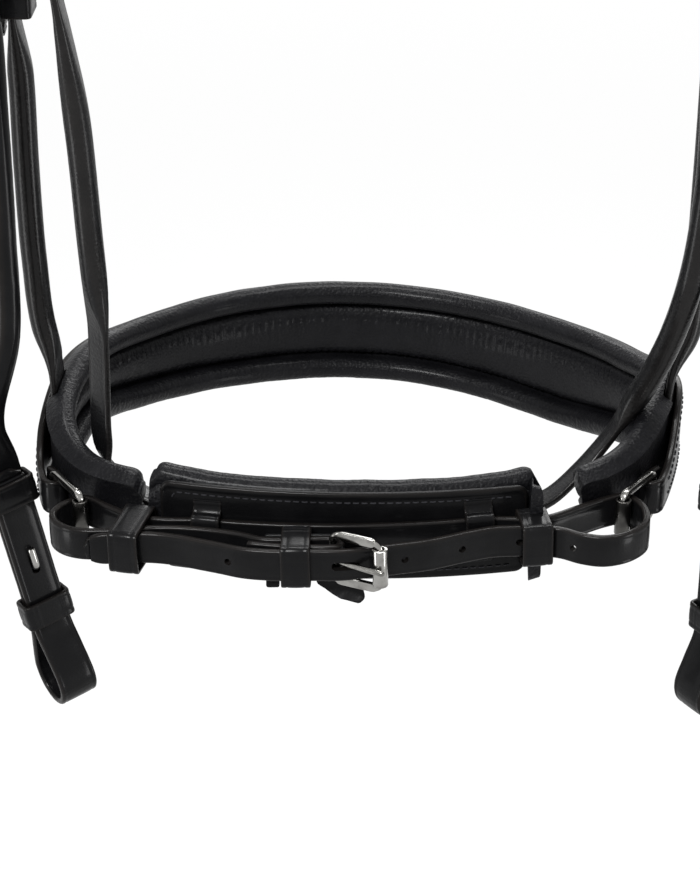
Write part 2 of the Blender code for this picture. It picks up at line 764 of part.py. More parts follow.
def lining_edges(place_along):
    """The height of the noseband's middle and its own height, at a place along it."""
    top, bottom = row_at(NOSEBAND_EDGES, place_along)
    return (top + bottom) / 2, (top - bottom) * LINING_HEIGHT / 0.0460


def ring_places(side):
    """The chape bar and the sleeve bar of the ring."""
    point, normal = nose_point(side * RING_SHARE, 0)
    tangent = Vector((normal.y, -normal.x, 0)) * side
    bar = point + normal * (BAND_THICK / 2 + RING_WIRE / 2 + 2 * TOUCH + SLIP)
    bar.z = RING_LEVELS[side]
    return bar, bar + tangent * RING_REACH, tangent, normal


def lining_outline(height):
    """A convex panel between an upper and a lower roll, for a lining of this height."""
    roll = LINING_ROLL / 2
    centre = height / 2 - roll
    outline = [(-centre - roll * 0.6, 0.0002)]
    for degrees in (155, 110, 65, 20):
        turn = math.radians(degrees)
        outline.append((-centre + roll * math.cos(turn), LINING_THICK - 0.0004 + roll * math.sin(turn)))
    outline += [(-centre + roll * 1.25, LINING_THICK * 0.62), (-centre * 0.45, LINING_THICK * 1.02)]
    return outline + [(-x, y) for x, y in reversed(outline)]


def noseband_lining(parent):
    """The padded inner face, shaped along its length and drawn in at its ends."""
    count = 45
    path, outlines = [], []
    for i in range(count):
        share = -1 + 2 * i / (count - 1)
        point, _ = nose_point(share, -0.0002)
        middle, height = lining_edges(share)
        near = min(1.0, (1 - abs(share)) / 0.02)
        size = 0.90 + 0.10 * math.sin(near * math.pi / 2)
        path.append(point + UP * middle)
        outlines.append([(x * size, y * size) for x, y in lining_outline(height)])
    piece = place("noseband_lining", sweep(path, UP, outlines), SOFT_LEATHER, parent=parent)
    for side, word in ((-1, "left"), (1, "right")):
        base, normal, along = headstrap_seat(side)
        pocket = box_at(
            base + UP * 0.0110, along, UP, (CHEEK_WIDTH + 2 * SLIP, 0.0400, (STRAP_THICK + 0.0010) * 2)
        )
        boolean(piece, cutter_of(f"{word}_headstrap_pocket", pocket, parent))
    return piece


def headstrap_seat(side):
    """Where the headstrap's flat end lies against the inside of the outer band."""
    share = side * SIDE_SHARE * 85 / 90
    point, normal = nose_point(share, 0)
    return point + UP * lining_edges(share)[0], normal, Vector((normal.y, -normal.x, 0)) * side


def band_half(side):
    """One half of the outer strap from the front: its line, and its width at each point."""
    half = []
    steps = 22
    last = RING_SHARE - 0.004
    narrow = RING_INNER_HEIGHT - 0.0012
    bar, _, tangent, normal = ring_places(side)
    fold = RING_WIRE / 2 + TOUCH + BAND_THICK / 2
    flat = BAND_THICK / 2 + TOUCH
    full = (bar - nose_point(side * RING_SHARE, 0)[0]).dot(normal) + fold
    for i in range(steps + 1):
        share = last * i / steps
        rise = max(0.0, (share - 0.66) / (last - 0.66)) ** 2
        middle, height = lining_edges(side * share)
        point, _ = nose_point(side * share, flat + (full - flat) * rise)
        point.z = middle + (bar.z - middle) * smooth((share - 0.60) / 0.23)
        wide = height - (LINING_HEIGHT - BAND_WIDTH)
        half.append((point, wide + (narrow - wide) * smooth((share - 0.68) / 0.14)))
    half += [(point, narrow) for point in arc(bar, fold, 90, -80, 8, tangent, normal)[1:]]
    end = half[-1][0]
    half.append((end - tangent * 0.0050 - normal * 0.0001, narrow))
    half.append((end - tangent * 0.0095 + normal * 0.0004, narrow))
    return half


def noseband_band(parent):
    """The outer strap, whose narrowed ends fold round the rings' chape bars and turn back inside."""
    whole = list(reversed(band_half(-1)[1:])) + band_half(1)
    outlines = [slim_outline(width, BAND_THICK) for _, width in whole]
    bm = sweep([point for point, _ in whole], UP, outlines)
    return place("noseband_band", bm, BLACK_LEATHER, parent=parent)


def ring(side, word, parent):
    """A square steel ring, with a sleeve on the bar that the crank strap runs round."""
    bar, far, tangent, normal = ring_places(side)
    half_height = RING_INNER_HEIGHT / 2 + RING_WIRE / 2
    middle = (bar + far) / 2
    path = [
        middle + tangent * x + UP * z
        for x, z in rounded_loop(RING_REACH / 2, half_height, RING_WIRE * 0.75, 2)
    ]
    bm = sweep(path, normal, round_outline(RING_WIRE, 8), closed=True)
    place(f"{word}_square_ring", bm, STEEL, origin=bar, parent=parent)
    sleeve(
        f"{word}_ring_sleeve", far, UP, SLEEVE_OUTER, SLEEVE_INNER, RING_INNER_HEIGHT - 2 * TOUCH, parent
    )


def chin_line(x, offset):
    """The outer face of the chin pad, seen from above, moved outward by an offset."""
    bow = CHIN_BOW * ((x - CHIN_SHIFT) / CHIN_HALF_LENGTH) ** 2
    return Vector((x, CHIN_FACE + bow - offset, 0))


def chin_cushion(parent):
    """The grained cushion against the jaw: crowned, drawn in at its ends and at its edges."""
    path, outlines = [], []
    count = 33
    height = CHIN_CUSHION_HEIGHT / 2
    for i in range(count):
        share = -1 + 2 * i / (count - 1)
        near = min(1.0, (1 - abs(share)) / 0.09)
        size = math.sin(near * math.pi / 2) * 0.34 + 0.66
        thick = CHIN_CUSHION_THICK * size
        x, top = height * (0.80 + 0.20 * size), 0.0
        path.append(chin_line(CHIN_SHIFT + share * CHIN_HALF_LENGTH, -(CHIN_FACING_THICK + TOUCH)))
        section = [(x * 0.84, top), (x * 0.97, thick * 0.10), (x, thick * 0.34), (x * 0.98, thick * 0.62)]
        section += [(x * 0.86, thick * 0.88), (x * 0.60, thick), (x * 0.30, thick * 0.92)]
        section += [(-px, py) for px, py in reversed(section)]
        outlines.append([(px, -py) for px, py in section])
    bm = sweep(path, UP, outlines)
    return place("chin_pad_cushion", bm, SOFT_LEATHER, parent=parent)


def chin_facing(parent):
    """The smooth outer face, with two bridges that hold it on the crank strap."""
    half = CHIN_HALF_LENGTH - 0.0040
    count = 27
    path, outlines = [], []
    for i in range(count):
        share = -1 + 2 * i / (count - 1)
        near = min(1.0, (1 - abs(share)) / 0.07)
        path.append(chin_line(CHIN_SHIFT + share * half, -CHIN_FACING_THICK / 2))
        outlines.append(
            slim_outline(CHIN_FACING_HEIGHT * (0.80 + 0.20 * math.sin(near * math.pi / 2)), CHIN_FACING_THICK)
        )
    piece = place("chin_pad_facing", sweep(path, UP, outlines), BLACK_LEATHER, parent=parent)
    for side, word in ((-1, "left"), (1, "right")):
        x = CHIN_SHIFT + side * BRIDGE_PLACE
        here = on_crank(chin_line(x, 0))
        along = (on_crank(chin_line(x + 0.001, 0)) - here).normalized()
        out = along.cross(UP).normalized()
        up = out.cross(along)
        top = STRAP_THICK + 2 * SLIP + KEEPER_THICK / 2
        edge = CRANK_WIDTH / 2 + SLIP + KEEPER_THICK / 2
        line = [(-edge - 0.0050, -0.0004), (-edge - 0.0010, 0.0004), (-edge, 0.0016), (-edge, top - 0.0012)]
        line += [(-edge + 0.0012, top)]
        line += [(-x, y) for x, y in reversed(line)]
        points = [here + up * x + out * y for x, y in line]
        bridge = sweep(points, along, slim_outline(BRIDGE_LENGTH, KEEPER_THICK, 0.0005))
        boolean(piece, cutter_of(f"{word}_bridge_body", bridge, parent), "UNION")
    return piece


def on_crank(point):
    """The point moved up or down to the crank strap's middle."""
    return Vector((point.x, point.y, CRANK_LEVEL + CRANK_SLOPE * point.x))


def inner_run(x):
    return chin_line(x, TOUCH + STRAP_THICK / 2)


def crank_frame():
    along = Vector((1, 0, CRANK_SLOPE))
    return Frame(on_crank(Vector((CRANK_BUCKLE_X, CRANK_BUCKLE_Y, 0))), along, Vector((0, -1, 0)))


def ways_along(side, shares):
    """Points between the buckle's heel bar and a ring's sleeve, from their shares of the way."""
    heel, sleeve_axis = crank_frame().origin, ring_places(side)[1]
    way = sleeve_axis - heel
    return [Vector((heel.x + way.x * x, heel.y + way.y * y, 0)) for x, y in shares]


def loop_round(side, places):
    """A loop's points, moved out from the sleeve by as much as a thicker strap needs."""
    sleeve_axis = ring_places(side)[1]
    points = []
    for x, y in places:
        grown = 1 + (STRAP_THICK - LOOP_THICK) / 2 / math.hypot(x, y)
        points.append(Vector((sleeve_axis.x + x * grown, sleeve_axis.y + y * grown, 0)))
    return points


def billet_line():
    """The outer run of the crank strap from the right loop under the buckle's toe to the billet's tip."""
    frame = crank_frame()
    low = CRANK_BUCKLE_RISE - ROLLER_OUTER / 2 - TOUCH - STRAP_THICK / 2
    line = ways_along(1, RIGHT_RUN)
    line += [frame.at(BUCKLE_LENGTH + 0.0040, low - 0.0008), frame.at(BUCKLE_LENGTH - 0.0030, low + 0.0008)]
    line += [frame.at(0.0030, BILLET_RISE + 0.0001), frame.at(-0.0060, BILLET_RISE + 0.0001)]
    line += [frame.at(-0.0200, BILLET_RISE + 0.0001)]
    return line + ways_along(-1, LEFT_BILLET + LEFT_TIP)


def crank_path():
    """The crank strap seen from above, from the turned-back ply at the buckle to the billet's tip."""
    frame = crank_frame()
    fold = arc(frame.origin, CHAPE_PLY, 90, -90, 8, frame.along, frame.out)
    outer = [frame.at(u, CHAPE_PLY * share) for u, share in ((-0.0310, -0.02), (-0.0200, 0.62), (-0.0090, 0.92))]
    inner = [frame.at(u, -CHAPE_PLY * share) for u, share in ((-0.0090, 0.94), (-0.0200, 0.78), (-0.0260, 0.90))]
    points = outer + fold + inner + ways_along(-1, ((0.348, 0.210),) + LEFT_PLY)
    points += loop_round(-1, LEFT_LOOP)
    reach = (BRIDGE_PLACE + 0.0030) / 54
    points += [inner_run(CHIN_SHIFT + reach * share) for share in (-54, -38, -19, 0, 19, 38, 53)]
    points += loop_round(1, RIGHT_LOOP) + billet_line()
    return [on_crank(point) for point in points]


def crank_strap(parent):
    """One strap: buckle chape, round the left ring, through the pad, round the right ring, billet."""
    path, _ = curve_through(crank_path(), 0.012)
    bm = sweep(path, UP, tip_outlines(len(path), CRANK_WIDTH, STRAP_THICK))
    piece = place("crank_strap", bm, BLACK_LEATHER, parent=parent)
    frame = crank_frame()
    boolean(piece, cutter_of("crank_chape_slit", tongue_slot(frame), parent))
    cuts = tongue_hole(frame, BILLET_RISE)
    line, _ = curve_through([on_crank(point) for point in loop_round(1, RIGHT_LOOP[-3:]) + billet_line()], 0.0010)
    lengths = [0.0]
    for a, b in zip(line, line[1:]):
        lengths.append(lengths[-1] + (b - a).length)
    start = next(length for length, p in zip(lengths, line) if p.x <= CRANK_BUCKLE_X + 0.0060)
    for number in [*range(-HOLES_RIGHT, 0), HOLES_LEFT]:
        wanted = start + number * HOLE_PITCH
        if not 0 < wanted < lengths[-1]:
            continue
        i = min(max(bisect.bisect(lengths, wanted), 1), len(line) - 1)
        tangent = (line[i] - line[i - 1]).normalized()
        add(cuts, rod_at(line[i], tangent.cross(UP).normalized(), HOLE_DIAMETER, 0.0046, 10))
    boolean(piece, cutter_of("crank_strap_cuts", cuts, parent))
    return piece


def snug_keeper(name, frame, line, width, parent):
    """A keeper drawn tight round every run of a strap that passes through it."""
    near = [p - frame.origin for p in line if abs((p - frame.origin).dot(frame.along)) < width / 2 + 0.0008]
    heights = [p.dot(frame.out) for p in near]
    half = STRAP_THICK / 2 + TOUCH
    keeper(name, frame, CRANK_WIDTH, min(heights) - half, max(heights) + half, parent, width)


def crank_keepers(parent):
    """Three keepers: one beside the buckle, one by the left ring and one by the right."""
    frame = crank_frame()
    near = Frame(frame.at(-0.0135, 0), frame.along, frame.out)
    keeper("crank_buckle_keeper", near, CRANK_WIDTH, GUARD_LOW, BILLET_RISE + STRAP_THICK / 2, parent)
    line, _ = curve_through(crank_path(), 0.0010)
    for word, x, turn in (("left", LEFT_KEEPER_X, -0.22), ("right", RIGHT_KEEPER_X, 0.16)):
        along, out = Vector((1, turn, CRANK_SLOPE)), Vector((0, -1, 0))
        middle = on_crank(Vector((x, CHIN_FACE, 0)))
        snug_keeper(f"crank_{word}_keeper", Frame(middle, along, out), line, 0.0115, parent)


def buckle_guard(parent):
    """A leather tongue under the buckle's chape, held by the buckle keeper, so that no bar reaches the pad."""
    frame = crank_frame()
    outline = [(-0.0255, -0.0150), (-0.0255, 0.0060), (0.0080, 0.0060), (0.0140, 0.0020), (0.0140, -0.0050)]
    outline += [(0.0095, -0.0100), (0.0090, -0.0160), (0.0040, -0.0190), (-0.0030, -0.0188), (-0.0066, -0.0150)]
    outline += [(-0.0066, -0.0064), (-0.0204, -0.0064), (-0.0204, -0.0142)]
    bm = bmesh.new()
    verts = [bm.verts.new(frame.at(u, GUARD_LOW + GUARD_THICK, z)) for u, z in outline]
    face = bm.faces.new(verts)
    grown = bmesh.ops.extrude_face_region(bm, geom=[face])
    moved = [item for item in grown["geom"] if isinstance(item, bmesh.types.BMVert)]
    bmesh.ops.translate(bm, verts=moved, vec=-frame.out * GUARD_THICK)
    return place("crank_buckle_guard", bm, BLACK_LEATHER, parent=parent)


def noseband_headstrap(parent_shift):
    """The left cheek strap with its buckle, and the long strap over the poll from the right side."""
    roll, flat = round_outline(ROLL_DIAMETER), flat_outline(CRANK_WIDTH, STRAP_THICK)
    wide = flat_outline(CHEEK_WIDTH, STRAP_THICK)
    pieces = []
    forward = Vector((0, 1, 0))
    for side in (-1, 1):
        seat, normal, _ = headstrap_seat(side)
        base = seat + parent_shift - normal * (STRAP_THICK / 2 + 0.0005)
        points = [base - UP * 0.0070, base + UP * 0.0060, base + UP * 0.0170]
        points += [base + UP * 0.0270 + Vector((side * 0.0008, 0, 0))]
        top = NOSEBAND_BUCKLE_Z
        drop = -NOSEBAND_DROP - top
        for inward, y, share in ((0.0022, 0.0202, 0.760), (0.0, 0.0208, 0.628), (-0.0008, 0.0216, 0.442)):
            points.append(Vector((side * (NOSEBAND_STRAP_X - inward), y, top + drop * share)))
        pieces.append((side, points))
    left = pieces[0][1]
    heel = Vector((-NOSEBAND_STRAP_X, NOSEBAND_STRAP_Y, NOSEBAND_BUCKLE_Z))
    frame = Frame(heel, UP, Vector((-1, 0, 0)))
    chape = list(reversed(chape_points(frame)))
    points = left + [Vector((-NOSEBAND_STRAP_X - 0.0008, 0.0226, NOSEBAND_BUCKLE_Z - 0.0600))] + chape
    path, orders = curve_through(points, 0.024)
    outlines, acrosses = [], []
    seat_along = headstrap_seat(-1)[2] * -1
    for order in orders:
        if order < 2.5:
            outlines.append(wide)
        elif order < 4:
            outlines.append(blend(wide, roll, (order - 2.5) / 1.5))
        elif order < 7:
            outlines.append(roll)
        elif order < 8:
            outlines.append(blend(roll, flat, order - 7))
        else:
            outlines.append(flat)
        acrosses.append(seat_along.lerp(forward, min(1.0, max(0.0, (order - 2) / 2))).normalized())
    piece = place("noseband_cheek_strap", sweep(path, acrosses, outlines), BLACK_LEATHER)
    boolean(piece, cutter_of("noseband_cheek_strap_slit", tongue_slot(frame)))

    points = pieces[1][1]
    for outward, y, rise in ((0.0008, 0.0212, -0.0600), (0.0006, 0.0195, -0.0050), (0.0003, 0.0170, 0.0450)):
        points.append(Vector((NOSEBAND_STRAP_X + outward, y, NOSEBAND_BUCKLE_Z + rise)))
    turned = [arch_point(a, HEADSTRAP_OFFSET, 0.0040 + 0.0120 * (a / 80) ** 2, 1) for a in (72, 54, 36, 18)]
    over = [arch_point(a, HEADSTRAP_OFFSET, 0.0040 + 0.0140 * (a / 80) ** 2, -1) for a in (0, 18, 36, 54, 72)]
    billet = [
        frame.at(0.0340, BILLET_RISE - 0.0030, 0.0),
        frame.at(0.0200, BILLET_RISE),
        frame.at(0.0, BILLET_RISE),
        frame.at(-0.0180, BILLET_RISE - 0.0006),
        frame.at(-0.0340, BILLET_RISE - 0.0004),
        frame.at(-0.0440, BILLET_RISE + 0.0008),
    ]
    points = points + turned + over + billet
    path, orders = curve_through(points, 0.024)
    outlines, acrosses = [], []
    seat_along = headstrap_seat(1)[2] * -1
    for order in orders:
        acrosses.append(seat_along.lerp(forward, min(1.0, max(0.0, (order - 2) / 2))).normalized())
        if order < 2.4:
            outlines.append(wide)
        elif order < 4:
            outlines.append(blend(wide, roll, (order - 2.4) / 1.6))
        elif order < 8:
            outlines.append(roll)
        elif order < 10:
            outlines.append(blend(roll, flat, (order - 8) / 2))
        else:
            outlines.append(flat)
    outlines[-2] = flat_outline(CRANK_WIDTH * 0.86, STRAP_THICK)
    outlines[-1] = flat_outline(CRANK_WIDTH * 0.42, STRAP_THICK * 0.9)
    piece = place("noseband_headstrap", sweep(path, acrosses, outlines), BLACK_LEATHER)
    cuts = tongue_hole(frame, BILLET_RISE)
    for drop in (-0.0160, 0.0330):
        add(cuts, rod_at(frame.at(drop, BILLET_RISE - 0.0010), frame.out, HOLE_DIAMETER, 0.0070, 10))
    boolean(piece, cutter_of("noseband_headstrap_cuts", cuts))
    buckle_set("noseband", frame, CRANK_WIDTH)


def buckle_set(word, frame, width):
    """A frame, its tongue, the fixed keeper under it and the sliding keeper below."""
    buckle_frame(f"{word}_buckle_frame", frame, width, BUCKLE_RISE, 0.0036)
    tongue(f"{word}_buckle_tongue", frame, BUCKLE_RISE, BUCKLE_WIRE)
    high = BILLET_RISE + STRAP_THICK / 2
    for name, drop, low in (("fixed_keeper", -0.0130, -0.0042), ("sliding_keeper", -0.0300, -0.0036)):
        here = Frame(frame.at(drop, 0), frame.along, frame.out)
        keeper(f"{word}_{name}", here, width, low, high)


def cheekpiece(side, word, turn, lean):
    """A rolled cheekpiece: buckle chape on top, and below a billet looped for the bit and hooked on a stud."""
    heel = Vector((side * CHEEK_X, 0, CHEEK_BUCKLE_Z))
    top = Frame(heel, UP, Vector((side, 0, 0)))
    angle = math.radians(turn)
    inner = Vector((-side * math.cos(angle), -math.sin(angle), 0))
    slope = math.radians(lean)
    down = Vector((-side * math.sin(slope), 0, -math.cos(slope)))
    low = Frame(Vector((side * CHEEK_LOWER_X, -CHEEK_BACK, CHEEK_LOWER_Z)), down, inner)
    half = STRAP_THICK / 2 + 0.0003
    centre_u = CHEEK_LOOP_DROP - LOOP_RADIUS
    points = chape_points(top)
    for share, bow, back in ((0.265, 0.0003, 0), (0.397, 0.0014, 0.16), (0.596, 0.0030, 0.45), (0.773, 0.0039, 0.75)):
        x = CHEEK_X + (CHEEK_LOWER_X - CHEEK_X) * share**2 - bow
        z = CHEEK_BUCKLE_Z + (CHEEK_LOWER_Z - CHEEK_BUCKLE_Z) * share
        points.append(Vector((side * x, -CHEEK_BACK * back, z)))
    points += [low.at(u, n) for u, n in ((-0.0130, 0), (0.0060, -half), (0.0360, -half), (0.0620, -half))]
    points += [low.at(0.0760, -half - 0.0006), low.at(0.0860, -half - 0.0048)]
    loop_centre = low.at(centre_u, 0)
    points += arc(loop_centre, LOOP_RADIUS, 180, 0, 9, low.out, low.along)
    points += [low.at(0.0860, half + 0.0048), low.at(0.0760, half + 0.0006)]
    points += [low.at(u, half) for u in (0.0620, 0.0360, 0.0160, 0.0040)]
    chape_count = len(chape_points(top))
    path, orders = curve_through(points, 0.024)
    roll, flat = round_outline(ROLL_DIAMETER), flat_outline(CHEEK_WIDTH, STRAP_THICK)
    outlines, acrosses = [], []
    first = chape_count - 1
    across_top, across_low = top.across, low.across
    if across_top.dot(across_low) < 0:
        across_low = -across_low
    for order in orders:
        order -= first
        if order < 0:
            outlines.append(flat)
        elif order < 1:
            outlines.append(blend(flat, roll, order))
        elif order < 4.4:
            outlines.append(roll)
        elif order < 5.8:
            outlines.append(blend(roll, flat, (order - 4.4) / 1.4))
        else:
            outlines.append(flat)
        share = min(1.0, max(0.0, (order - 1) / 4.4))
        acrosses.append(across_top.lerp(across_low, share).normalized())
    outlines[-2] = flat_outline(CHEEK_WIDTH * 0.90, STRAP_THICK)
    outlines[-1] = flat_outline(CHEEK_WIDTH * 0.50, STRAP_THICK * 0.8)
    piece = place(f"{word}_cheekpiece", sweep(path, acrosses, outlines), BLACK_LEATHER, origin=heel)
    slot_high = STRAP_THICK + 0.0020
    slit = box_at(low.at(0.0440, half), low.across, low.along, (0.0042, 0.0120, slot_high))
    add(slit, tongue_slot(top))
    boolean(piece, cutter_of(f"{word}_cheekpiece_slits", slit))
    hook_stud(f"{word}_hook_stud", low, half)
    keeper_low = -half - STRAP_THICK / 2
    for name, u in (("upper", 0.0135), ("lower", 0.0672)):
        here = Frame(low.at(u, 0), low.along, low.out)
        keeper(f"{word}_bit_{name}_keeper", here, CHEEK_WIDTH, keeper_low, -keeper_low)
    buckle_set(f"{word}_cheek", top, CHEEK_WIDTH)


def hook_stud(name, frame, half):
    """A steel hook that stands on the strap, comes through the slit and lies up the billet."""
    diameter = 0.0030
    base = frame.at(0.0470, -half + STRAP_THICK / 2 + TOUCH)
    rise = half * 2 + TOUCH + diameter / 2 - 0.0008
    bend = 0.0022
    path = [base, base + frame.out * (rise - bend)]
    centre = base + frame.out * (rise - bend) - frame.along * bend
    path += arc(centre, bend, 0, 90, 4, frame.along, frame.out)[1:]
    path += [path[-1] - frame.along * 0.0030, path[-1] - frame.along * 0.0062]
    path += [path[-1] - frame.along * 0.0010]
    outlines = [round_outline(diameter, 10)] * (len(path) - 1) + [round_outline(diameter * 0.6, 10)]
    return place(name, sweep(path, frame.across, outlines), STEEL)


# The throatlash from left to right: x as a share of the noseband's half width, y, share of the drop
THROAT_ROUTE = (
    (-0.851, -0.0225, 0.240),
    (-0.829, -0.0160, 0.400),
    (-0.818, -0.0110, 0.580),
    (-0.811, -0.0080, 0.700),
    (-0.813, -0.0072, 0.792),
    (-0.816, -0.0075, 0.864),
    (-0.816, -0.0085, 0.920),
    (-0.806, -0.0100, 0.960),
    (-0.768, -0.0125, 0.994),
    (-0.672, -0.0160, 1.018),
    (-0.360, -0.0190, 1.034),
    (0.000, -0.0200, 1.038),
    (0.360, -0.0180, 1.032),
    (0.584, -0.0120, 1.018),
    (0.680, -0.0060, 0.982),
    (0.756, -0.0010, 0.942),
    (0.828, 0.0010, 0.888),
    (0.904, -0.0020, 0.808),
    (0.978, -0.0110, 0.660),
    (1.010, -0.0140, 0.500),
    (1.005, -0.0190, 0.340),
    (0.997, -0.0225, 0.240),
)


def throatlash():
    """The strap that hangs in a bight: flat at its buckles, rolled at its sides, flat at the bottom."""
    left, right = throat_heel(-1), throat_heel(1)
    left_frame = Frame(left, UP, Vector((-1, 0, 0)))
    right_frame = Frame(right, UP, Vector((1, 0, 0)))
    start, end = chape_points(left_frame), list(reversed(chape_points(right_frame)))
    way = -NOSEBAND_DROP - THROAT_BUCKLE_Z
    route = [
        Vector((NOSEBAND_HALF_WIDTH * x, y, THROAT_BUCKLE_Z + way * share)) for x, y, share in THROAT_ROUTE
    ]
    points = start + route + end
    path, orders = curve_through(points, 0.030)
    roll, flat = round_outline(ROLL_DIAMETER), flat_outline(THROAT_WIDTH, STRAP_THICK)
    first, last = len(start) - 1, len(start) + len(route)
    forward = Vector((0, 1, 0))
    outlines = []
    for order in orders:
        from_left, from_right = order - first, last - order
        near = min(from_left, from_right)
        if near < 0.5:
            share = 0.0
        elif near < 2:
            share = (near - 0.5) / 1.5
        else:
            share = 1.0
        if first + 3.6 < order < last - 5.6:
            bottom = min(order - (first + 3.6), (last - 5.6) - order)
            share = min(share, max(0.0, 1 - bottom / 1.0))
        outlines.append(blend(flat, roll, share))
    piece = place("throatlash", sweep(path, forward, outlines), BLACK_LEATHER)
    slits = tongue_slot(left_frame)
    add(slits, tongue_slot(right_frame))
    boolean(piece, cutter_of("throatlash_slits", slits))
    buckle_set("left_throat", left_frame, THROAT_WIDTH)
    buckle_set("right_throat", right_frame, THROAT_WIDTH)


def main():
    clear_scene()
    poll_pad()
    headpiece()
    browband()
    shift = Vector((0, NOSEBAND_SHIFT, -NOSEBAND_DROP))
    nose = frame_empty("noseband_frame", shift)
    noseband_lining(nose)
    noseband_band(nose)
    for side, word in ((-1, "left"), (1, "right")):
        ring(side, word, nose)
    chin_cushion(nose)
    chin_facing(nose)
    crank_strap(nose)
    crank_keepers(nose)
    frame = crank_frame()
    rise = CRANK_BUCKLE_RISE
    buckle_frame("crank_buckle_frame", frame, CRANK_WIDTH, rise, 0.0024, nose)
    tongue("crank_buckle_tongue", frame, rise, ROLLER_OUTER, nose)
    width = CRANK_WIDTH + 2 * (BUCKLE_MARGIN - TOUCH)
    toe = frame.at(BUCKLE_LENGTH, rise)
    sleeve("crank_buckle_roller", toe, frame.across, ROLLER_OUTER, ROLLER_INNER, width, nose)
    buckle_guard(nose)
    noseband_headstrap(shift)
    cheekpiece(-1, "left", LEFT_TURN, LEFT_LEAN)
    cheekpiece(1, "right", RIGHT_TURN, RIGHT_LEAN)
    throatlash()


main()
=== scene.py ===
"""Looks of a dressage bridle with a padded crank noseband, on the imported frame.

Metres, +Z up. The chin and the crank buckle are at -Y, the front of the face at +Y, and +X is the
side on the right from behind. Straps are swept from the same lines as the frame's solids, with real
edges, creases and stitches; the pads are crowned skins over their solids' places.
"""

import json
import logging
import math
from dataclasses import dataclass
from enum import Enum
from typing import Callable, Iterable, Sequence, TypeVar

import bmesh
import bpy
from mathutils import Matrix, Vector, noise

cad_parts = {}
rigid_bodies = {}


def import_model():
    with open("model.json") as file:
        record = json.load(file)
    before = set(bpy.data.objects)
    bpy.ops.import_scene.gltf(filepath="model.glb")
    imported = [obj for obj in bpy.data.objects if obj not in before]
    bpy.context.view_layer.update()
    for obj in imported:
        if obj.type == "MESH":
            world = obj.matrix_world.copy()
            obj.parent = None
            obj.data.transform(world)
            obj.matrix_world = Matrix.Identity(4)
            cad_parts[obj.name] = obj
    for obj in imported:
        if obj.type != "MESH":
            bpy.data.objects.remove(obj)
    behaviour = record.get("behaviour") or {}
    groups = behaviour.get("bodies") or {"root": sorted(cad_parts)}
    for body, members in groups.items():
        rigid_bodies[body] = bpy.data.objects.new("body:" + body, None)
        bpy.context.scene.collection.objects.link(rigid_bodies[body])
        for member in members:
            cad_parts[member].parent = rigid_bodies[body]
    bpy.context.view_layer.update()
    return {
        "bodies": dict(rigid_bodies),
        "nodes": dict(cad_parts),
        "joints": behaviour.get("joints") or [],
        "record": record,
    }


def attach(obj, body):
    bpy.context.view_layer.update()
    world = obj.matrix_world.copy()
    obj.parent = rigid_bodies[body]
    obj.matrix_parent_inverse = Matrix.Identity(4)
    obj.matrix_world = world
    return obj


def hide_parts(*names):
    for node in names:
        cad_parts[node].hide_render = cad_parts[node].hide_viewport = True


LOG = logging.getLogger("bridle")
UP = Vector((0, 0, 1))
FORWARD = Vector((0, 1, 0))
SMOOTH_ANGLE = 38.0
Value = TypeVar("Value", float, Vector)
Pair = tuple[float, float]
Outline = list[Pair]
Line = list[Vector]
Row = tuple[float, ...]
Seat = tuple[Vector, Vector]
Shape = bmesh.types.BMesh
Piece = bpy.types.Object
Material = bpy.types.Material
Node = bpy.types.Node
Tree = bpy.types.NodeTree
Socket = bpy.types.NodeSocket


class Side(Enum):
    """The bridle's left or right, seen from behind."""

    LEFT = -1
    RIGHT = 1

    @property
    def word(self) -> str:
        """The side's name as the nodes have it."""
        return self.name.lower()

    @property
    def out(self) -> Vector:
        """The direction away from the bridle's middle."""
        return Vector((self.value, 0, 0))


@dataclass(frozen=True)
class Leather:
    """The sizes that every strap of this bridle is cut to."""

    thick: float = 0.0028
    roll: float = 0.0100
    cheek: float = 0.0160
    crank: float = 0.0130
    throat: float = 0.0120
    keeper_thick: float = 0.0016
    keeper_width: float = 0.0110
    hole: float = 0.0028
    touch: float = 0.0004
    slip: float = 0.0006


@dataclass(frozen=True)
class BuckleSizes:
    """A buckle's wire, length and rise; the plies that fold round it follow from them."""

    wire: float = 0.0025
    length: float = 0.0178
    rise: float = 0.0110
    margin: float = 0.0017
    tongue: float = 0.0022
    corner: float = 0.0036

    @property
    def ply(self) -> float:
        """From the heel bar's middle to that of the ply folded round it."""
        return self.wire / 2 + CUT.touch + CUT.thick / 2

    @property
    def billet(self) -> float:
        """From the heel bar's middle to that of the billet, which lies on the folded ply."""
        return self.ply + CUT.thick + CUT.touch


CUT = Leather()
BUCKLE = BuckleSizes()
ARCH_HALF_WIDTH = 0.1190
ARCH_HEIGHT = 0.1300
HEADSTRAP_OFFSET = 0.0090 + CUT.touch + CUT.thick / 2
HEADPIECE_THICK = 0.0040
HEADPIECE_OFFSET = HEADSTRAP_OFFSET + CUT.thick / 2 + CUT.touch + HEADPIECE_THICK / 2
HEADPIECE_FRONT, HEADPIECE_BACK = 0.0150, -0.0300
CHEEK_X, CHEEK_BUCKLE_Z = 0.1365, -0.1600
NOSEBAND = Vector((0, 0.0500, -0.4000))


# --- lines and places


def hermite(start: Value, end: Value, leaving: Value, arriving: Value, t: float) -> Value:
    """A value between two, with the slope it leaves the first and reaches the second at.

    Args:
        start: Value at t = 0, a number or a vector.
        end: Value at t = 1.
        leaving: Slope at the start.
        arriving: Slope at the end.
        t: Place between them, 0 to 1.

    Returns:
        The value, of the same kind as start.
    """
    return (
        start * (2 * t**3 - 3 * t**2 + 1)
        + end * (3 * t**2 - 2 * t**3)
        + leaving * (t**3 - 2 * t**2 + t)
        + arriving * (t**3 - t**2)
    )


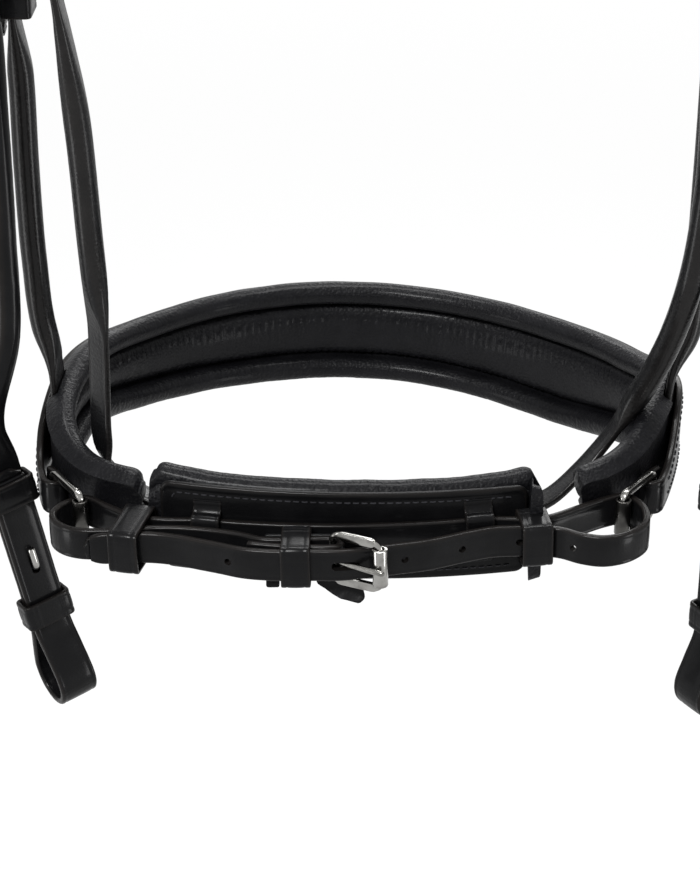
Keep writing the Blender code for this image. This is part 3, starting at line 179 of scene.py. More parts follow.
def clamped(value: float) -> float:
    """The value, or the nearer of 0 and 1 if it is beyond them."""
    return min(1.0, max(0.0, value))


def smooth(value: float) -> float:
    """0 below 0, 1 above 1, and an even rise between."""
    value = clamped(value)
    return value * value * (3 - 2 * value)


def domed(share: float, least: float) -> float:
    """A size that rises from its least to 1 as a quarter circle does."""
    return least + (1 - least) * math.sqrt(max(0.0, 1 - (1 - share) ** 2))


def mix(one: float, other: float, share: float) -> float:
    """The number this share of the way from one to the other."""
    return one + (other - one) * share


def row_at(table: Sequence[Row], place: float) -> list[float]:
    """A table's row at a value of its first column, on smooth lines through the rows.

    Args:
        table: Rows in the order of their first number.
        place: Value of the first column.

    Returns:
        The other columns' values there.
    """
    after = 1
    while after < len(table) - 1 and table[after][0] < place:
        after += 1
    around = (max(after - 2, 0), after - 1, after, min(after + 1, len(table) - 1))
    ends = [table[i] for i in around]
    span = ends[2][0] - ends[1][0]
    t = (place - ends[1][0]) / span
    row = []
    for column in range(1, len(table[0])):
        leaving = (ends[2][column] - ends[0][column]) / (ends[2][0] - ends[0][0]) * span
        arriving = (ends[3][column] - ends[1][column]) / (ends[3][0] - ends[1][0]) * span
        row.append(hermite(ends[1][column], ends[2][column], leaving, arriving, t))
    return row


def curve_through(points: Sequence[Vector], spacing: float) -> tuple[Line, list[float]]:
    """A smooth line through points.

    Args:
        points: Places it passes, in order.
        spacing: Most distance between the line's own points.

    Returns:
        The line's points, and each one's place in the list, such as 2.5 for half-way on.
    """
    chords = [(b - a).length for a, b in zip(points, points[1:])]
    slopes = [(points[1] - points[0]) / chords[0]]
    for i in range(1, len(points) - 1):
        before, after = chords[i - 1], chords[i]
        back, ahead = (points[i] - points[i - 1]) / before, (points[i + 1] - points[i]) / after
        slopes.append((back * after + ahead * before) / (before + after))
    slopes.append((points[-1] - points[-2]) / chords[-1])
    line, orders = [], []
    for i, chord in enumerate(chords):
        steps = max(1, math.ceil(chord / spacing - 0.01))
        for step in range(steps):
            t = step / steps
            leaving, arriving = slopes[i] * chord, slopes[i + 1] * chord
            line.append(hermite(points[i], points[i + 1], leaving, arriving, t))
            orders.append(i + t)
    return [*line, points[-1]], [*orders, float(len(chords))]


def reached(points: Sequence[Vector]) -> list[float]:
    """The metres along a line at each of its points."""
    lengths = [0.0]
    for a, b in zip(points, points[1:]):
        lengths.append(lengths[-1] + (b - a).length)
    return lengths


def arc(
    centre: Vector, radius: float, start: float, end: float, steps: int, side: Vector, rise: Vector
) -> Line:
    """Points on an arc in the plane of two unit vectors; angles in degrees."""
    points = []
    for step in range(steps + 1):
        angle = math.radians(start + (end - start) * step / steps)
        points.append(centre + side * radius * math.cos(angle) + rise * radius * math.sin(angle))
    return points


def rounded_loop(half_across: float, half_along: float, radius: float, steps: int) -> Outline:
    """A closed rounded rectangle, as pairs of numbers, anticlockwise."""
    points = []
    for corner in range(4):
        sx = 1 if corner in (0, 3) else -1
        sy = 1 if corner in (0, 1) else -1
        for step in range(steps + 1):
            angle = math.radians(90 * corner + 90 * step / steps)
            x = sx * (half_across - radius) + radius * math.cos(angle)
            points.append((x, sy * (half_along - radius) + radius * math.sin(angle)))
    return points


class Place:
    """A place on a strap: origin, across the strap, u along it, and n outward from its face."""

    def __init__(self, origin: Vector, along: Vector, out: Vector) -> None:
        """Keeps the origin and squares the two directions."""
        self.origin = origin
        self.along = along.normalized()
        self.out = (out - self.along * out.dot(self.along)).normalized()
        self.across = self.out.cross(self.along)

    def at(self, u: float, n: float, v: float = 0.0) -> Vector:
        """The point at these distances along, outward and across."""
        return self.origin + self.along * u + self.out * n + self.across * v


def arch_normal(angle: float, side: int = 1) -> Vector:
    """The outward direction over the poll, at an angle from its top in degrees."""
    turn = math.radians(angle)
    return Vector((side * math.sin(turn) / ARCH_HALF_WIDTH, 0, math.cos(turn) / ARCH_HEIGHT)).normalized()


def arch_point(angle: float, offset: float, y: float = 0.0, side: int = 1) -> Vector:
    """A point over the poll: angle from the top in degrees, offset outward from the pad's underside."""
    turn = math.radians(angle)
    x, z = ARCH_HALF_WIDTH * math.sin(turn), -ARCH_HEIGHT * (1 - math.cos(turn))
    return Vector((side * x, y, z)) + arch_normal(angle, side) * offset


def chape(place: Place) -> Line:
    """The line of a strap folded round the heel bar, from the end of the turned-back ply to the front ply."""
    ply = BUCKLE.ply
    steps = ((-0.0340, 0.62), (-0.0200, 0.70), (-0.0090, 0.92))
    back = [place.at(u, -ply * share) for u, share in steps]
    fold = arc(place.origin, ply, 270, 450, 12, place.along, place.out)
    return back + fold + [place.at(u, ply * share) for u, share in reversed(steps)]


# --- sections


SIDE_POINTS, FACE_POINTS = 10, 9


def strap_section(width: float, thick: float, crease: float = 0.0016) -> Outline:
    """A flat strap's section: rounded edges, and a pressed crease line beside each edge on both faces.

    Args:
        width: Strap's width.
        thick: Strap's thickness.
        crease: Distance of the crease from the edge.

    Returns:
        Its points, anticlockwise from the lower right edge.
    """
    x, y = width / 2, thick / 2
    round_off = min(y * 0.72, x * 0.3)
    points = []
    for first, height in ((-90, -1), (0, 1)):
        for step in range(SIDE_POINTS // 2):
            angle = math.radians(first + 90 * step / (SIDE_POINTS // 2 - 1))
            px = x - round_off + round_off * math.cos(angle)
            points.append((px, height * (y - round_off) + round_off * math.sin(angle)))
    groove, depth = min(crease, x * 0.45), 0.00013
    face = [groove - 0.00050, groove, groove + 0.00060]
    for inset, drop in zip(face, (0.0, depth, 0.0)):
        points.append((x - inset, y - drop))
    points += [(x * 0.35, y + 0.00006), (0.0, y + 0.00009), (-x * 0.35, y + 0.00006)]
    for inset, drop in zip(reversed(face), (0.0, depth, 0.0)):
        points.append((-x + inset, y - drop))
    return points + [(-px, -py) for px, py in points]


def roll_section(diameter: float) -> Outline:
    """A rolled strap's section, with as many points as a flat one's, and a sewn ridge along one face."""
    angles = [-78 + 156 * step / (SIDE_POINTS - 1) for step in range(SIDE_POINTS)]
    angles += [81 + 18 * step / (FACE_POINTS - 1) for step in range(FACE_POINTS)]
    angles += [angle + 180 for angle in angles]
    radius = diameter / 2
    return [(radius * math.cos(math.radians(a)), radius * math.sin(math.radians(a))) for a in angles]


def blend(one: Outline, other: Outline, share: float) -> Outline:
    """The section this share of the way from one to the other."""
    share = smooth(share)
    return [(mix(ax, bx, share), mix(ay, by, share)) for (ax, ay), (bx, by) in zip(one, other)]


def scaled(outline: Outline, across: float, out: float) -> Outline:
    """The section stretched across and outward."""
    return [(x * across, y * out) for x, y in outline]


def bar_section(width: float, thick: float, bevel: float) -> Outline:
    """A flat steel bar's section with bevelled edges, twelve points."""
    x, y = width / 2, thick / 2
    corner = [(x, y - bevel), (x - bevel * 0.3, y - bevel * 0.3), (x - bevel, y)]
    half = [(px, -py) for px, py in reversed(corner)] + corner
    return half + [(-px, -py) for px, py in half]


def wire_section(diameter: float, count: int = 12) -> Outline:
    """A round section with this many points, from the lower right."""
    turn = 2 * math.pi / count
    first = -math.pi / 2 + turn / 2
    radius = diameter / 2
    return [(radius * math.cos(first + turn * i), radius * math.sin(first + turn * i)) for i in range(count)]


# --- sweeping


def ripple(along: float, around: float, layer: float) -> float:
    """Even random waves over a sweep's skin, -1 to 1; each layer has its own."""
    return noise.noise(Vector((along, around, layer)))


@dataclass
class Run:
    """A line with the direction across it and the section at each of its points."""

    points: Line
    acrosses: Line
    sections: list[Outline]
    closed: bool = False

    def frames(self) -> list[tuple[Vector, Vector]]:
        """The across and outward directions of each point, squared to the line."""
        count, found = len(self.points), []
        for i, across in enumerate(self.acrosses):
            before = self.points[i - 1] if self.closed else self.points[max(i - 1, 0)]
            after = self.points[(i + 1) % count] if self.closed else self.points[min(i + 1, count - 1)]
            tangent = (after - before).normalized()
            side = (across - tangent * across.dot(tangent)).normalized()
            found.append((side, tangent.cross(side)))
        return found

    def bends(self) -> list[float]:
        """How sharply the line turns at each point, smoothed over its neighbours, in 1/m."""
        count, sharp = len(self.points), [0.0] * len(self.points)
        for i in range(1, count - 1):
            back, ahead = self.points[i] - self.points[i - 1], self.points[i + 1] - self.points[i]
            sharp[i] = back.angle(ahead, 0.0) / max(1e-6, (back.length + ahead.length) / 2)
        return [sum(sharp[max(0, i - 3) : i + 4]) / len(sharp[max(0, i - 3) : i + 4]) for i in range(count)]


def rounded_ends(run: Run, blunt: float = 0.0006) -> Run:
    """Adds shrunken stations to a run: they round its first end, and press a groove before its last."""
    stations = list(zip(run.points, run.acrosses, run.sections))
    last = len(stations) - 1
    for end, inner, insert in ((0, 1, 0), (last, last - 1, last + 1)):
        point, across, section = stations[end]
        direction = (point - stations[inner][0]).normalized()
        half, high = (max(abs(pair[axis]) for pair in section) for axis in (0, 1))
        extra = []
        for reach, shrink in ((0.7, 0.3), (1.0, 1.0)):
            smaller = scaled(section, 1 - blunt * shrink / half, 1 - blunt * shrink / high)
            extra.append((point + direction * blunt * reach, across, smaller))
        stations[insert:insert] = extra[::-1] if end == 0 else extra
    points, acrosses, sections = (list(column) for column in zip(*stations))
    return Run(points, acrosses, sections, run.closed)


def mapped_shape() -> Shape:
    """An empty bmesh with the two maps that the leathers read."""
    bm = bmesh.new()
    for name in ("run", "wear"):
        bm.loops.layers.uv.new(name)
    return bm


def even(points: Line, across: Vector, sections: list, closed: bool = False) -> Run:
    """A run with the same across direction all along, and one section for all points or one for each."""
    each = sections if isinstance(sections[0], list) else [sections] * len(points)
    return Run(points, [across] * len(points), each, closed)


def skin(run: Run, shape: Callable[[int, float], float] | None = None) -> Shape:
    """The closed surface of a swept section, as a grid laid round the run.

    Its map "run" holds metres along and across, and "wear" the distance from the nearer edge and the
    line's bend, which the leather's creases and worn edges follow.

    Args:
        run: The line and its sections.
        shape: How far a point stands out from its section, from its place in the section and the
            metres along.

    Returns:
        A bmesh with outward faces.
    """
    stations, around = len(run.points), len(run.sections[0])
    rows = stations + 1 if run.closed else stations
    bm = mapped_shape()
    bmesh.ops.create_grid(bm, x_segments=around, y_segments=rows - 1, size=0.5, calc_uvs=True)
    bm.verts.ensure_lookup_table()
    frames, bends = run.frames(), run.bends()
    lengths = reached([run.points[i % stations] for i in range(rows)])
    places: dict[int, tuple[int, int]] = {}
    for vert in bm.verts:
        column = round((vert.co.x + 0.5) * around)
        row = round((vert.co.y + 0.5) * (rows - 1))
        places[vert.index] = (row, column)
    for vert in bm.verts:
        row, column = places[vert.index]
        station, spot = row % stations, column % around
        side, out = frames[station]
        x, y = run.sections[station][spot]
        if shape is not None:
            lift = 1 + shape(spot, lengths[row]) / max(1e-6, math.hypot(x, y))
            x, y = x * lift, y * lift
        vert.co = run.points[station] + side * x + out * y
    run_map, wear_map = bm.loops.layers.uv["run"], bm.loops.layers.uv["wear"]
    halves = [max(abs(x) for x, _ in section) for section in run.sections]
    for face in bm.faces:
        for loop in face.loops:
            row, column = places[loop.vert.index]
            x = run.sections[row % stations][column % around][0]
            loop[run_map].uv = (lengths[row], x)
            loop[wear_map].uv = (halves[row % stations] - abs(x), bends[row % stations])
    bmesh.ops.remove_doubles(bm, verts=bm.verts, dist=1e-7)
    if not run.closed:
        bmesh.ops.holes_fill(bm, edges=[edge for edge in bm.edges if edge.is_boundary], sides=0)
    bmesh.ops.recalc_face_normals(bm, faces=bm.faces)
    return bm


def joined(parts: Iterable[Shape]) -> Shape:
    """One bmesh of several, each still its own closed body."""
    whole = mapped_shape()
    for part in parts:
        mesh = bpy.data.meshes.new("joined")
        part.to_mesh(mesh)
        part.free()
        whole.from_mesh(mesh)
        bpy.data.meshes.remove(mesh)
    return whole


def rod(centre: Vector, axis: Vector, diameter: float, length: float) -> Shape:
    """A closed round bar, used to punch holes."""
    bm = bmesh.new()
    turn = UP.rotation_difference(axis).to_matrix().to_4x4()
    bmesh.ops.create_cone(
        bm, cap_ends=True, segments=16, radius1=diameter / 2, radius2=diameter / 2, depth=length,
        matrix=Matrix.Translation(centre) @ turn,
    )
    return bm


def block(centre: Vector, across: Vector, along: Vector, size: tuple[float, float, float]) -> Shape:
    """A closed oblong, its sizes across, along and through."""
    bm = bmesh.new()
    turn = Matrix((across, along, across.cross(along))).transposed().to_4x4()
    place = Matrix.Translation(centre) @ turn @ Matrix.Diagonal((*size, 1.0))
    bmesh.ops.create_cube(bm, size=1.0, matrix=place)
    return bm


def oblong(centre: Vector, across: Vector, along: Vector, size: tuple[float, float, float]) -> Shape:
    """A block with rounded ends, used to punch slits."""
    bm = block(centre, across, along, size)
    through = across.cross(along)
    depth_edges = [
        edge for edge in bm.edges
        if abs((edge.verts[0].co - edge.verts[1].co).normalized().dot(through)) > 0.9
    ]
    bmesh.ops.bevel(
        bm, geom=depth_edges, offset=size[0] * 0.45, segments=4, profile=0.5, affect="EDGES", material=-1
    )
    return bm


def object_of(name: str, bm: Shape, sharp: float = SMOOTH_ANGLE) -> Piece:
    """A smooth-shaded object of a bmesh, at the origin.

    Args:
        name: The object's name.
        bm: Its shape, which is freed.
        sharp: Angle in degrees over which an edge stays sharp.

    Returns:
        The new object.
    """
    mesh = bpy.data.meshes.new(name)
    bm.to_mesh(mesh)
    bm.free()
    mesh.shade_smooth()
    mesh.set_sharp_from_angle(angle=math.radians(sharp))
    made = bpy.data.objects.new(name, mesh)
    bpy.context.scene.collection.objects.link(made)
    return made


def punched(piece: Piece, cutters: Iterable[Shape]) -> Piece:
    """Cuts holes through a piece, one after the other.

    Args:
        piece: The object to cut.
        cutters: Closed shapes, which are freed.

    Returns:
        The piece, with its mesh changed.
    """
    helpers = []
    for number, bm in enumerate(cutters):
        bmesh.ops.recalc_face_normals(bm, faces=bm.faces)
        helper = object_of(f"punch_{number}", bm)
        modifier = piece.modifiers.new("punch", "BOOLEAN")
        modifier.operation, modifier.solver, modifier.object = "DIFFERENCE", "EXACT", helper
        helpers.append(helper)
    bpy.context.view_layer.update()
    evaluated = piece.evaluated_get(bpy.context.evaluated_depsgraph_get())
    cut = bpy.data.meshes.new_from_object(evaluated)
    piece.modifiers.clear()
    old, piece.data = piece.data, cut
    bpy.data.meshes.remove(old)
    for helper in helpers:
        bpy.data.objects.remove(helper, do_unlink=True)
    cut.shade_smooth()
    cut.set_sharp_from_angle(angle=math.radians(SMOOTH_ANGLE))
    return piece


# --- finishes


def srgb(colour: str) -> tuple[float, float, float, float]:
    """The linear values of a colour written as sRGB hex."""
    channels = [int(colour[i : i + 2], 16) / 255 for i in (1, 3, 5)]
    linear = [c / 12.92 if c <= 0.04045 else ((c + 0.055) / 1.055) ** 2.4 for c in channels]
    return (linear[0], linear[1], linear[2], 1.0)


def add_node(tree: Tree, kind: str, inputs: dict | None = None, **settings: object) -> Node:
    """Adds a node.

    Args:
        tree: The node tree it joins.
        kind: Its type's name.
        inputs: Its sockets' values by name or number, or the output socket that each is linked to.
        **settings: Its own settings.

    Returns:
        The node.
    """
    made = tree.nodes.new(kind)
    for name, value in settings.items():
        setattr(made, name, value)
    for socket, value in (inputs or {}).items():
        if isinstance(value, Socket):
            tree.links.new(value, made.inputs[socket])
        else:
            made.inputs[socket].default_value = value
    return made


def fresh_material(name: str) -> tuple[Material, Tree, Node]:
    """A new material, with its node tree and its shader."""
    material = bpy.data.materials.new(name)
    material.use_nodes = True
    return material, material.node_tree, material.node_tree.nodes["Principled BSDF"]


def link_surface(tree: Tree, shader: Node, colour: Socket, roughness: Socket, height: Socket) -> None:
    """Gives a shader its colour, its roughness and the bumps of a height in metres."""
    bump = add_node(tree, "ShaderNodeBump", {"Height": height, "Strength": 1.0, "Distance": 1.0}).outputs[0]
    for socket, value in (("Base Color", colour), ("Roughness", roughness), ("Normal", bump)):
        tree.links.new(value, shader.inputs[socket])


MATH, NOISE, RANGE, MIX = "ShaderNodeMath", "ShaderNodeTexNoise", "ShaderNodeMapRange", "ShaderNodeMix"
# How near a cut edge leather starts to be rubbed and is rubbed through, in metres.
RUBBED = (0.0014, 0.0002)
# The bends, in 1/m, at which leather starts to wrinkle and is wrinkled fully.
WRINKLED = (12.0, 110.0)
# Colour and gloss vary in patches of about 11 mm on leather and 6 mm on steel.
LEATHER_PATCHES, STEEL_PATCHES = 90.0, 160.0


@dataclass(frozen=True)
class TannedLeather:
    """A dyed and tanned leather: colours, gloss and the real size of its grain and wrinkles in metres."""

    name: str
    dye: str
    bloom: str
    edge: str
    gloss: Pair
    grain: float
    depth: float
    fold: float
    fold_depth: float
    fold_share: float
    coat: float = 0.0
    mirror: float = 0.09

    def build(self) -> Material:
        """Its material: pebbled grain, wrinkles across the run where it bends, and edges rubbed lighter."""
        material, tree, shader = fresh_material(self.name)
        here = add_node(tree, "ShaderNodeTexCoord").outputs["Object"]
        run = add_node(tree, "ShaderNodeUVMap", uv_map="run").outputs[0]
        wear = add_node(tree, "ShaderNodeUVMap", uv_map="wear").outputs[0]
        apart = add_node(tree, "ShaderNodeSeparateXYZ", {0: wear}).outputs
        inputs = {"Vector": here, "Scale": 1 / self.grain, "Smoothness": 0.6}
        cells = add_node(tree, "ShaderNodeTexVoronoi", inputs, feature="SMOOTH_F1").outputs["Distance"]
        inputs = {"Vector": here, "Scale": 0.6 / self.grain, "Detail": 3.0}
        fine = add_node(tree, NOISE, inputs).outputs[0]
        inputs = {"Vector": here, "Scale": LEATHER_PATCHES, "Detail": 4.0, "Roughness": 0.6}
        mottle = add_node(tree, NOISE, inputs).outputs[0]
        # Wrinkles lie across the run: long across it, one fold apart along it.
        inputs = {"Vector": run, "Scale": (1 / self.fold, 0.16 / self.fold, 1.0)}
        stretched = add_node(tree, "ShaderNodeMapping", inputs).outputs[0]
        inputs = {"Vector": stretched, "Scale": 1.0, "Detail": 2.5, "Distortion": 0.5}
        folds = add_node(tree, NOISE, inputs).outputs[0]
        ramps = []
        for value, (low, high) in ((apart[0], RUBBED), (apart[1], WRINKLED), (mottle, (0.35, 0.75))):
            inputs = {"Value": value, "From Min": low, "From Max": high}
            ramps.append(add_node(tree, RANGE, inputs, interpolation_type="SMOOTHSTEP").outputs[0])
        edge, bend, bloom = ramps
        share = add_node(tree, MATH, {0: bend, 1: self.fold_share}, operation="MAXIMUM").outputs[0]
        creased = add_node(tree, MATH, {0: folds, 1: share}, operation="MULTIPLY").outputs[0]
        height = 0.0
        for pattern, depth in ((cells, -self.depth), (fine, self.depth * 0.6), (creased, self.fold_depth)):
            inputs = {0: pattern, 1: depth, 2: height}
            height = add_node(tree, MATH, inputs, operation="MULTIPLY_ADD").outputs[0]
        rubbed = add_node(tree, MATH, {0: edge, 1: mottle}, operation="MULTIPLY").outputs[0]
        colour = srgb(self.dye)
        for share, other in ((bloom, self.bloom), (rubbed, self.edge)):
            inputs = {0: share, 6: colour, 7: srgb(other)}
            colour = add_node(tree, MIX, inputs, data_type="RGBA").outputs[2]
        inputs = {"Value": mottle, "From Min": 0.3, "From Max": 0.7}
        inputs |= {"To Min": self.gloss[0], "To Max": self.gloss[1]}
        roughness = add_node(tree, RANGE, inputs).outputs[0]
        link_surface(tree, shader, colour, roughness, height)
        shader.inputs["IOR"].default_value = 1.5
        # Pores and wax trap part of what a clear surface would reflect.
        shader.inputs["Specular IOR Level"].default_value = self.mirror
        shader.inputs["Coat Weight"].default_value = self.coat
        shader.inputs["Coat Roughness"].default_value = 0.15
        return material


@dataclass(frozen=True)
class PolishedSteel:
    """Stainless steel, stamped and tumble-polished: a bright mirror with fine rubbing marks."""

    name: str = "stainless_steel_polished"
    colour: str = "#979693"
    shade: str = "#6E6D6A"
    gloss: Pair = (0.10, 0.22)
    marks: float = 0.0012
    mark_depth: float = 0.00001

    def build(self) -> Material:
        """Its material: mirror grey, with rubbed patches that scatter a little more."""
        material, tree, shader = fresh_material(self.name)
        here = add_node(tree, "ShaderNodeTexCoord").outputs["Object"]
        marks = add_node(tree, NOISE, {"Vector": here, "Scale": 1 / self.marks, "Detail": 4.0}).outputs[0]
        patch = add_node(tree, NOISE, {"Vector": here, "Scale": STEEL_PATCHES, "Detail": 3.0}).outputs[0]
        inputs = {"Value": patch, "From Min": 0.4, "From Max": 0.75}
        rubbed = add_node(tree, RANGE, inputs, interpolation_type="SMOOTHSTEP").outputs[0]
        inputs = {0: rubbed, 6: srgb(self.colour), 7: srgb(self.shade)}
        colour = add_node(tree, MIX, inputs, data_type="RGBA").outputs[2]
        inputs = {"Value": patch, "From Min": 0.35, "From Max": 0.7}
        inputs |= {"To Min": self.gloss[0], "To Max": self.gloss[1]}
        roughness = add_node(tree, RANGE, inputs).outputs[0]
        height = add_node(tree, MATH, {0: marks, 1: self.mark_depth}, operation="MULTIPLY").outputs[0]
        link_surface(tree, shader, colour, roughness, height)
        shader.inputs["Metallic"].default_value = 1.0
        return material


class Finish(Enum):
    """What a piece is made of."""

    # Waxed and glazed: deep black, soft long highlights, creases and rubbed edges catch the light.
    STRAP = TannedLeather(
        "bridle_leather_waxed", dye="#0B0B0C", bloom="#0F0F10", edge="#1A1715", gloss=(0.28, 0.42),
        grain=0.0008, depth=0.00005, fold=0.0022, fold_depth=0.00040, fold_share=0.18, coat=0.15, mirror=0.04,
    )
    # Rolled round a cord and sewn: the skin puckers all round, so its highlight breaks into specks.
    ROLLED = TannedLeather(
        "bridle_leather_rolled", dye="#0B0B0C", bloom="#121213", edge="#181615", gloss=(0.28, 0.42),
        grain=0.0011, depth=0.00017, fold=0.0018, fold_depth=0.00036, fold_share=0.60, coat=0.20, mirror=0.08,
    )
    # Soft, full-grained and drummed: pebbles of about 1.2 mm, more matt, with fine folds across.
    LINING = TannedLeather(
        "lining_leather_drummed", dye="#0D0D0F", bloom="#121214", edge="#121214", gloss=(0.36, 0.50),
        grain=0.0012, depth=0.00030, fold=0.0024, fold_depth=0.00065, fold_share=0.60, coat=0.06, mirror=0.07,
    )
    # The smooth split that faces the chin pad.
    FACING = TannedLeather(
        "facing_leather_smooth", dye="#0A0A0B", bloom="#0E0E0F", edge="#171514", gloss=(0.30, 0.42),
        grain=0.0009, depth=0.00005, fold=0.0030, fold_depth=0.00028, fold_share=0.20, coat=0.10, mirror=0.04,
    )
    STEEL = PolishedSteel()
    # The sleeves on the rings: the same steel, browned dark, so that only their rims shine.
    DARK_STEEL = PolishedSteel("steel_browned", colour="#4A4947", shade="#353433", gloss=(0.24, 0.36))
    # Waxed polyester, 0.6 mm: a cord a little greyer than the leather round it.
    THREAD = TannedLeather(
        "thread_waxed_polyester", dye="#202022", bloom="#2E2E31", edge="#2E2E31", gloss=(0.45, 0.60),
        grain=0.0006, depth=0.00006, fold=0.0006, fold_depth=0.00010, fold_share=0.5,
    )

    @property
    def slot(self) -> str:
        """The record's material slot that the finish belongs to."""
        if self in (Finish.STEEL, Finish.DARK_STEEL):
            return "steel"
        return "lining_leather" if self is Finish.LINING else "bridle_leather"


@dataclass
class Bench:
    """Where finished pieces are laid out: it knows each node's body and builds each finish once."""

    homes: dict[str, str]
    built: dict[Finish, Material]

    def dress(self, piece: Piece, node: str, finish: Finish) -> None:
        """Gives a piece its finish, and the body of the node that it belongs to."""
        if finish not in self.built:
            self.built[finish] = finish.value.build()
        piece.data.materials.clear()
        piece.data.materials.append(self.built[finish])
        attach(piece, self.homes[node])

    def sew(self, name: str, node: str, rows: dict[str, list[Seat]], pitch: float) -> None:
        """Sews rows of stitches on a node's piece, each named for its place on it."""
        for word, seats in rows.items():
            self.dress(object_of(f"{name}_{word}_thread", stitches(seats, pitch)), node, Finish.THREAD)

    def make(
        self, name: str, bm: Shape, node: str, finish: Finish,
        sharp: float = SMOOTH_ANGLE,
    ) -> None:
        """Makes an object of a bmesh and lays it in a node's place."""
        self.lay(object_of(name, bm, sharp), node, finish)

    def lay(self, piece: Piece, node: str, finish: Finish) -> None:
        """Puts a finished piece in a node's place.

        Args:
            piece: The object, in the frame's own place.
            node: The solid it stands for.
            finish: What it is made of.
        """
        self.dress(piece, node, finish)
        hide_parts(node)
        LOG.info("%s: %s faces, in place of %s", piece.name, len(piece.data.polygons), node)


# --- small shared parts


def tube(
    centre: Vector, axis: Vector, outer: float, inner: float, length: float, slit: float
) -> Shape:
    """A rolled tube with rounded rims.

    Args:
        centre: Its middle.
        axis: Its unit direction.
        outer: Outer diameter.
        inner: Inner diameter.
        length: Its length.
        slit: Degrees left open where its sheet meets.

    Returns:
        A closed bmesh.
    """
    side = axis.orthogonal().normalized()
    rim = (outer - inner) * 0.16
    half = length / 2
    small, large = inner / 2, outer / 2
    outline = [(-half, small + rim * 0.4), (-half, large - rim), (-half + rim * 0.3, large - rim * 0.3)]
    outline += [(-half + rim, large), (half - rim, large), (half - rim * 0.3, large - rim * 0.3)]
    outline += [(half, large - rim), (half, small + rim * 0.4), (half - rim * 0.5, small)]
    outline.append((-half + rim * 0.5, small))
    bm = bmesh.new()
    points = [bm.verts.new(centre + axis * along + side * radius) for along, radius in outline]
    edges = [bm.edges.new((a, b)) for a, b in zip(points, points[1:] + points[:1])]
    turn = 2 * math.pi - math.radians(slit)
    bmesh.ops.spin(bm, geom=points + edges, cent=centre, axis=axis, angle=turn, steps=48)
    bmesh.ops.holes_fill(bm, edges=[edge for edge in bm.edges if edge.is_boundary], sides=0)
    bmesh.ops.remove_doubles(bm, verts=bm.verts, dist=1e-7)
    bmesh.ops.recalc_face_normals(bm, faces=bm.faces)
    return bm


def straightened(points: Sequence[Pair], spacing: float) -> Outline:
    """A closed outline with more points along its straight sides."""
    denser = []
    for (ax, ay), (bx, by) in zip(points, [*points[1:], points[0]]):
        steps = max(1, round(math.hypot(bx - ax, by - ay) / spacing))
        denser += [(mix(ax, bx, step / steps), mix(ay, by, step / steps)) for step in range(steps)]
    return denser


def keeper_skin(place: Place, stack_width: float, low: float, high: float, width: float) -> Shape:
    """A leather loop round the plies between two heights, creased along both edges.

    Args:
        place: Its place on the strap.
        stack_width: Width of the plies it holds.
        low: Height of their lowest face.
        high: Height of their highest face.
        width: Its own width along the strap.

    Returns:
        A closed bmesh.
    """
    half_width = stack_width / 2 + CUT.slip + CUT.keeper_thick / 2
    half_stack = (high - low) / 2 + CUT.slip + CUT.keeper_thick / 2
    middle = (high + low) / 2
    loop = straightened(rounded_loop(half_width, half_stack, CUT.keeper_thick * 0.95, 5), 0.0012)
    section = strap_section(width, CUT.keeper_thick, 0.0022)
    sections = []
    for x, y in loop:
        belly = 0.00030 * max(0.0, 1 - (x / half_width) ** 2) if y > 0 else 0.0
        sections.append([(px, py + belly) for px, py in section])
    points = [place.at(0, middle + y, x) for x, y in loop]
    return skin(even(points, place.along, sections, closed=True))


def wire_frame(place: Place, strap_width: float, rise: float, corner: float) -> Shape:
    """A stamped buckle frame: round where the strap and the tongue bear, flat and bevelled at its arms."""
    half = strap_width / 2 + BUCKLE.margin + BUCKLE.wire / 2
    slope = place.along * BUCKLE.length + place.out * rise
    tilted = Place(place.origin + slope / 2, slope, place.out)
    loop = straightened(rounded_loop(half, slope.length / 2, corner, 6), 0.0012)
    bar, wire = bar_section(0.0021, 0.0036, 0.0005), wire_section(BUCKLE.wire, 14)
    sections = []
    for _, y in loop:
        sections.append(blend(wire, bar, (slope.length / 2 - corner * 0.5 - abs(y)) / (corner * 0.8)))
    points = [tilted.at(y, 0, x) for x, y in loop]
    return skin(even(points, tilted.out, sections, closed=True))


def tongue_skin(place: Place, rise: float, toe_diameter: float) -> Shape:
    """A bar hooked on the heel bar, that lies over the toe bar and is flattened at its tip."""
    radius = BUCKLE.wire / 2 + CUT.touch + BUCKLE.tongue / 2
    end = Vector((BUCKLE.length, rise + toe_diameter * 0.54 + CUT.touch + BUCKLE.tongue / 2))
    leave = math.degrees(math.atan2(end.y, end.x) + math.acos(radius / end.length))
    hook = arc(place.origin, radius, leave - 250, leave, 24, place.along, place.out)
    tip = place.at(end.x, end.y)
    way = tip - hook[-1]
    points = hook + [hook[-1] + way * (step / 8) for step in range(1, 9)]
    points += [tip + way.normalized() * reach for reach in (0.0008, 0.0014, 0.0017)]
    sections = [wire_section(BUCKLE.tongue, 12)] * (len(points) - 6)
    sections += [scaled(sections[0], wide, 1.0) for wide in (1.05, 1.12, 1.12)]
    sections += [scaled(sections[0], size, size) for size in (0.95, 0.75, 0.40)]
    return skin(even(points, place.across, sections))


def heel_slit(place: Place) -> Shape:
    """The slit in a fold for the tongue's hook."""
    size = (BUCKLE.tongue + 2 * CUT.slip, 0.0130, 0.0094)
    return oblong(place.at(0.0010, 0.0), place.across, place.along, size)


def tongue_hole(place: Place, height: float) -> Shape:
    """The oblong hole in the billet that the tongue comes through."""
    size = (BUCKLE.tongue + 2 * CUT.slip, 0.0104, 0.0044)
    return oblong(place.at(0.0051, height + 0.0003), place.across, place.along, size)


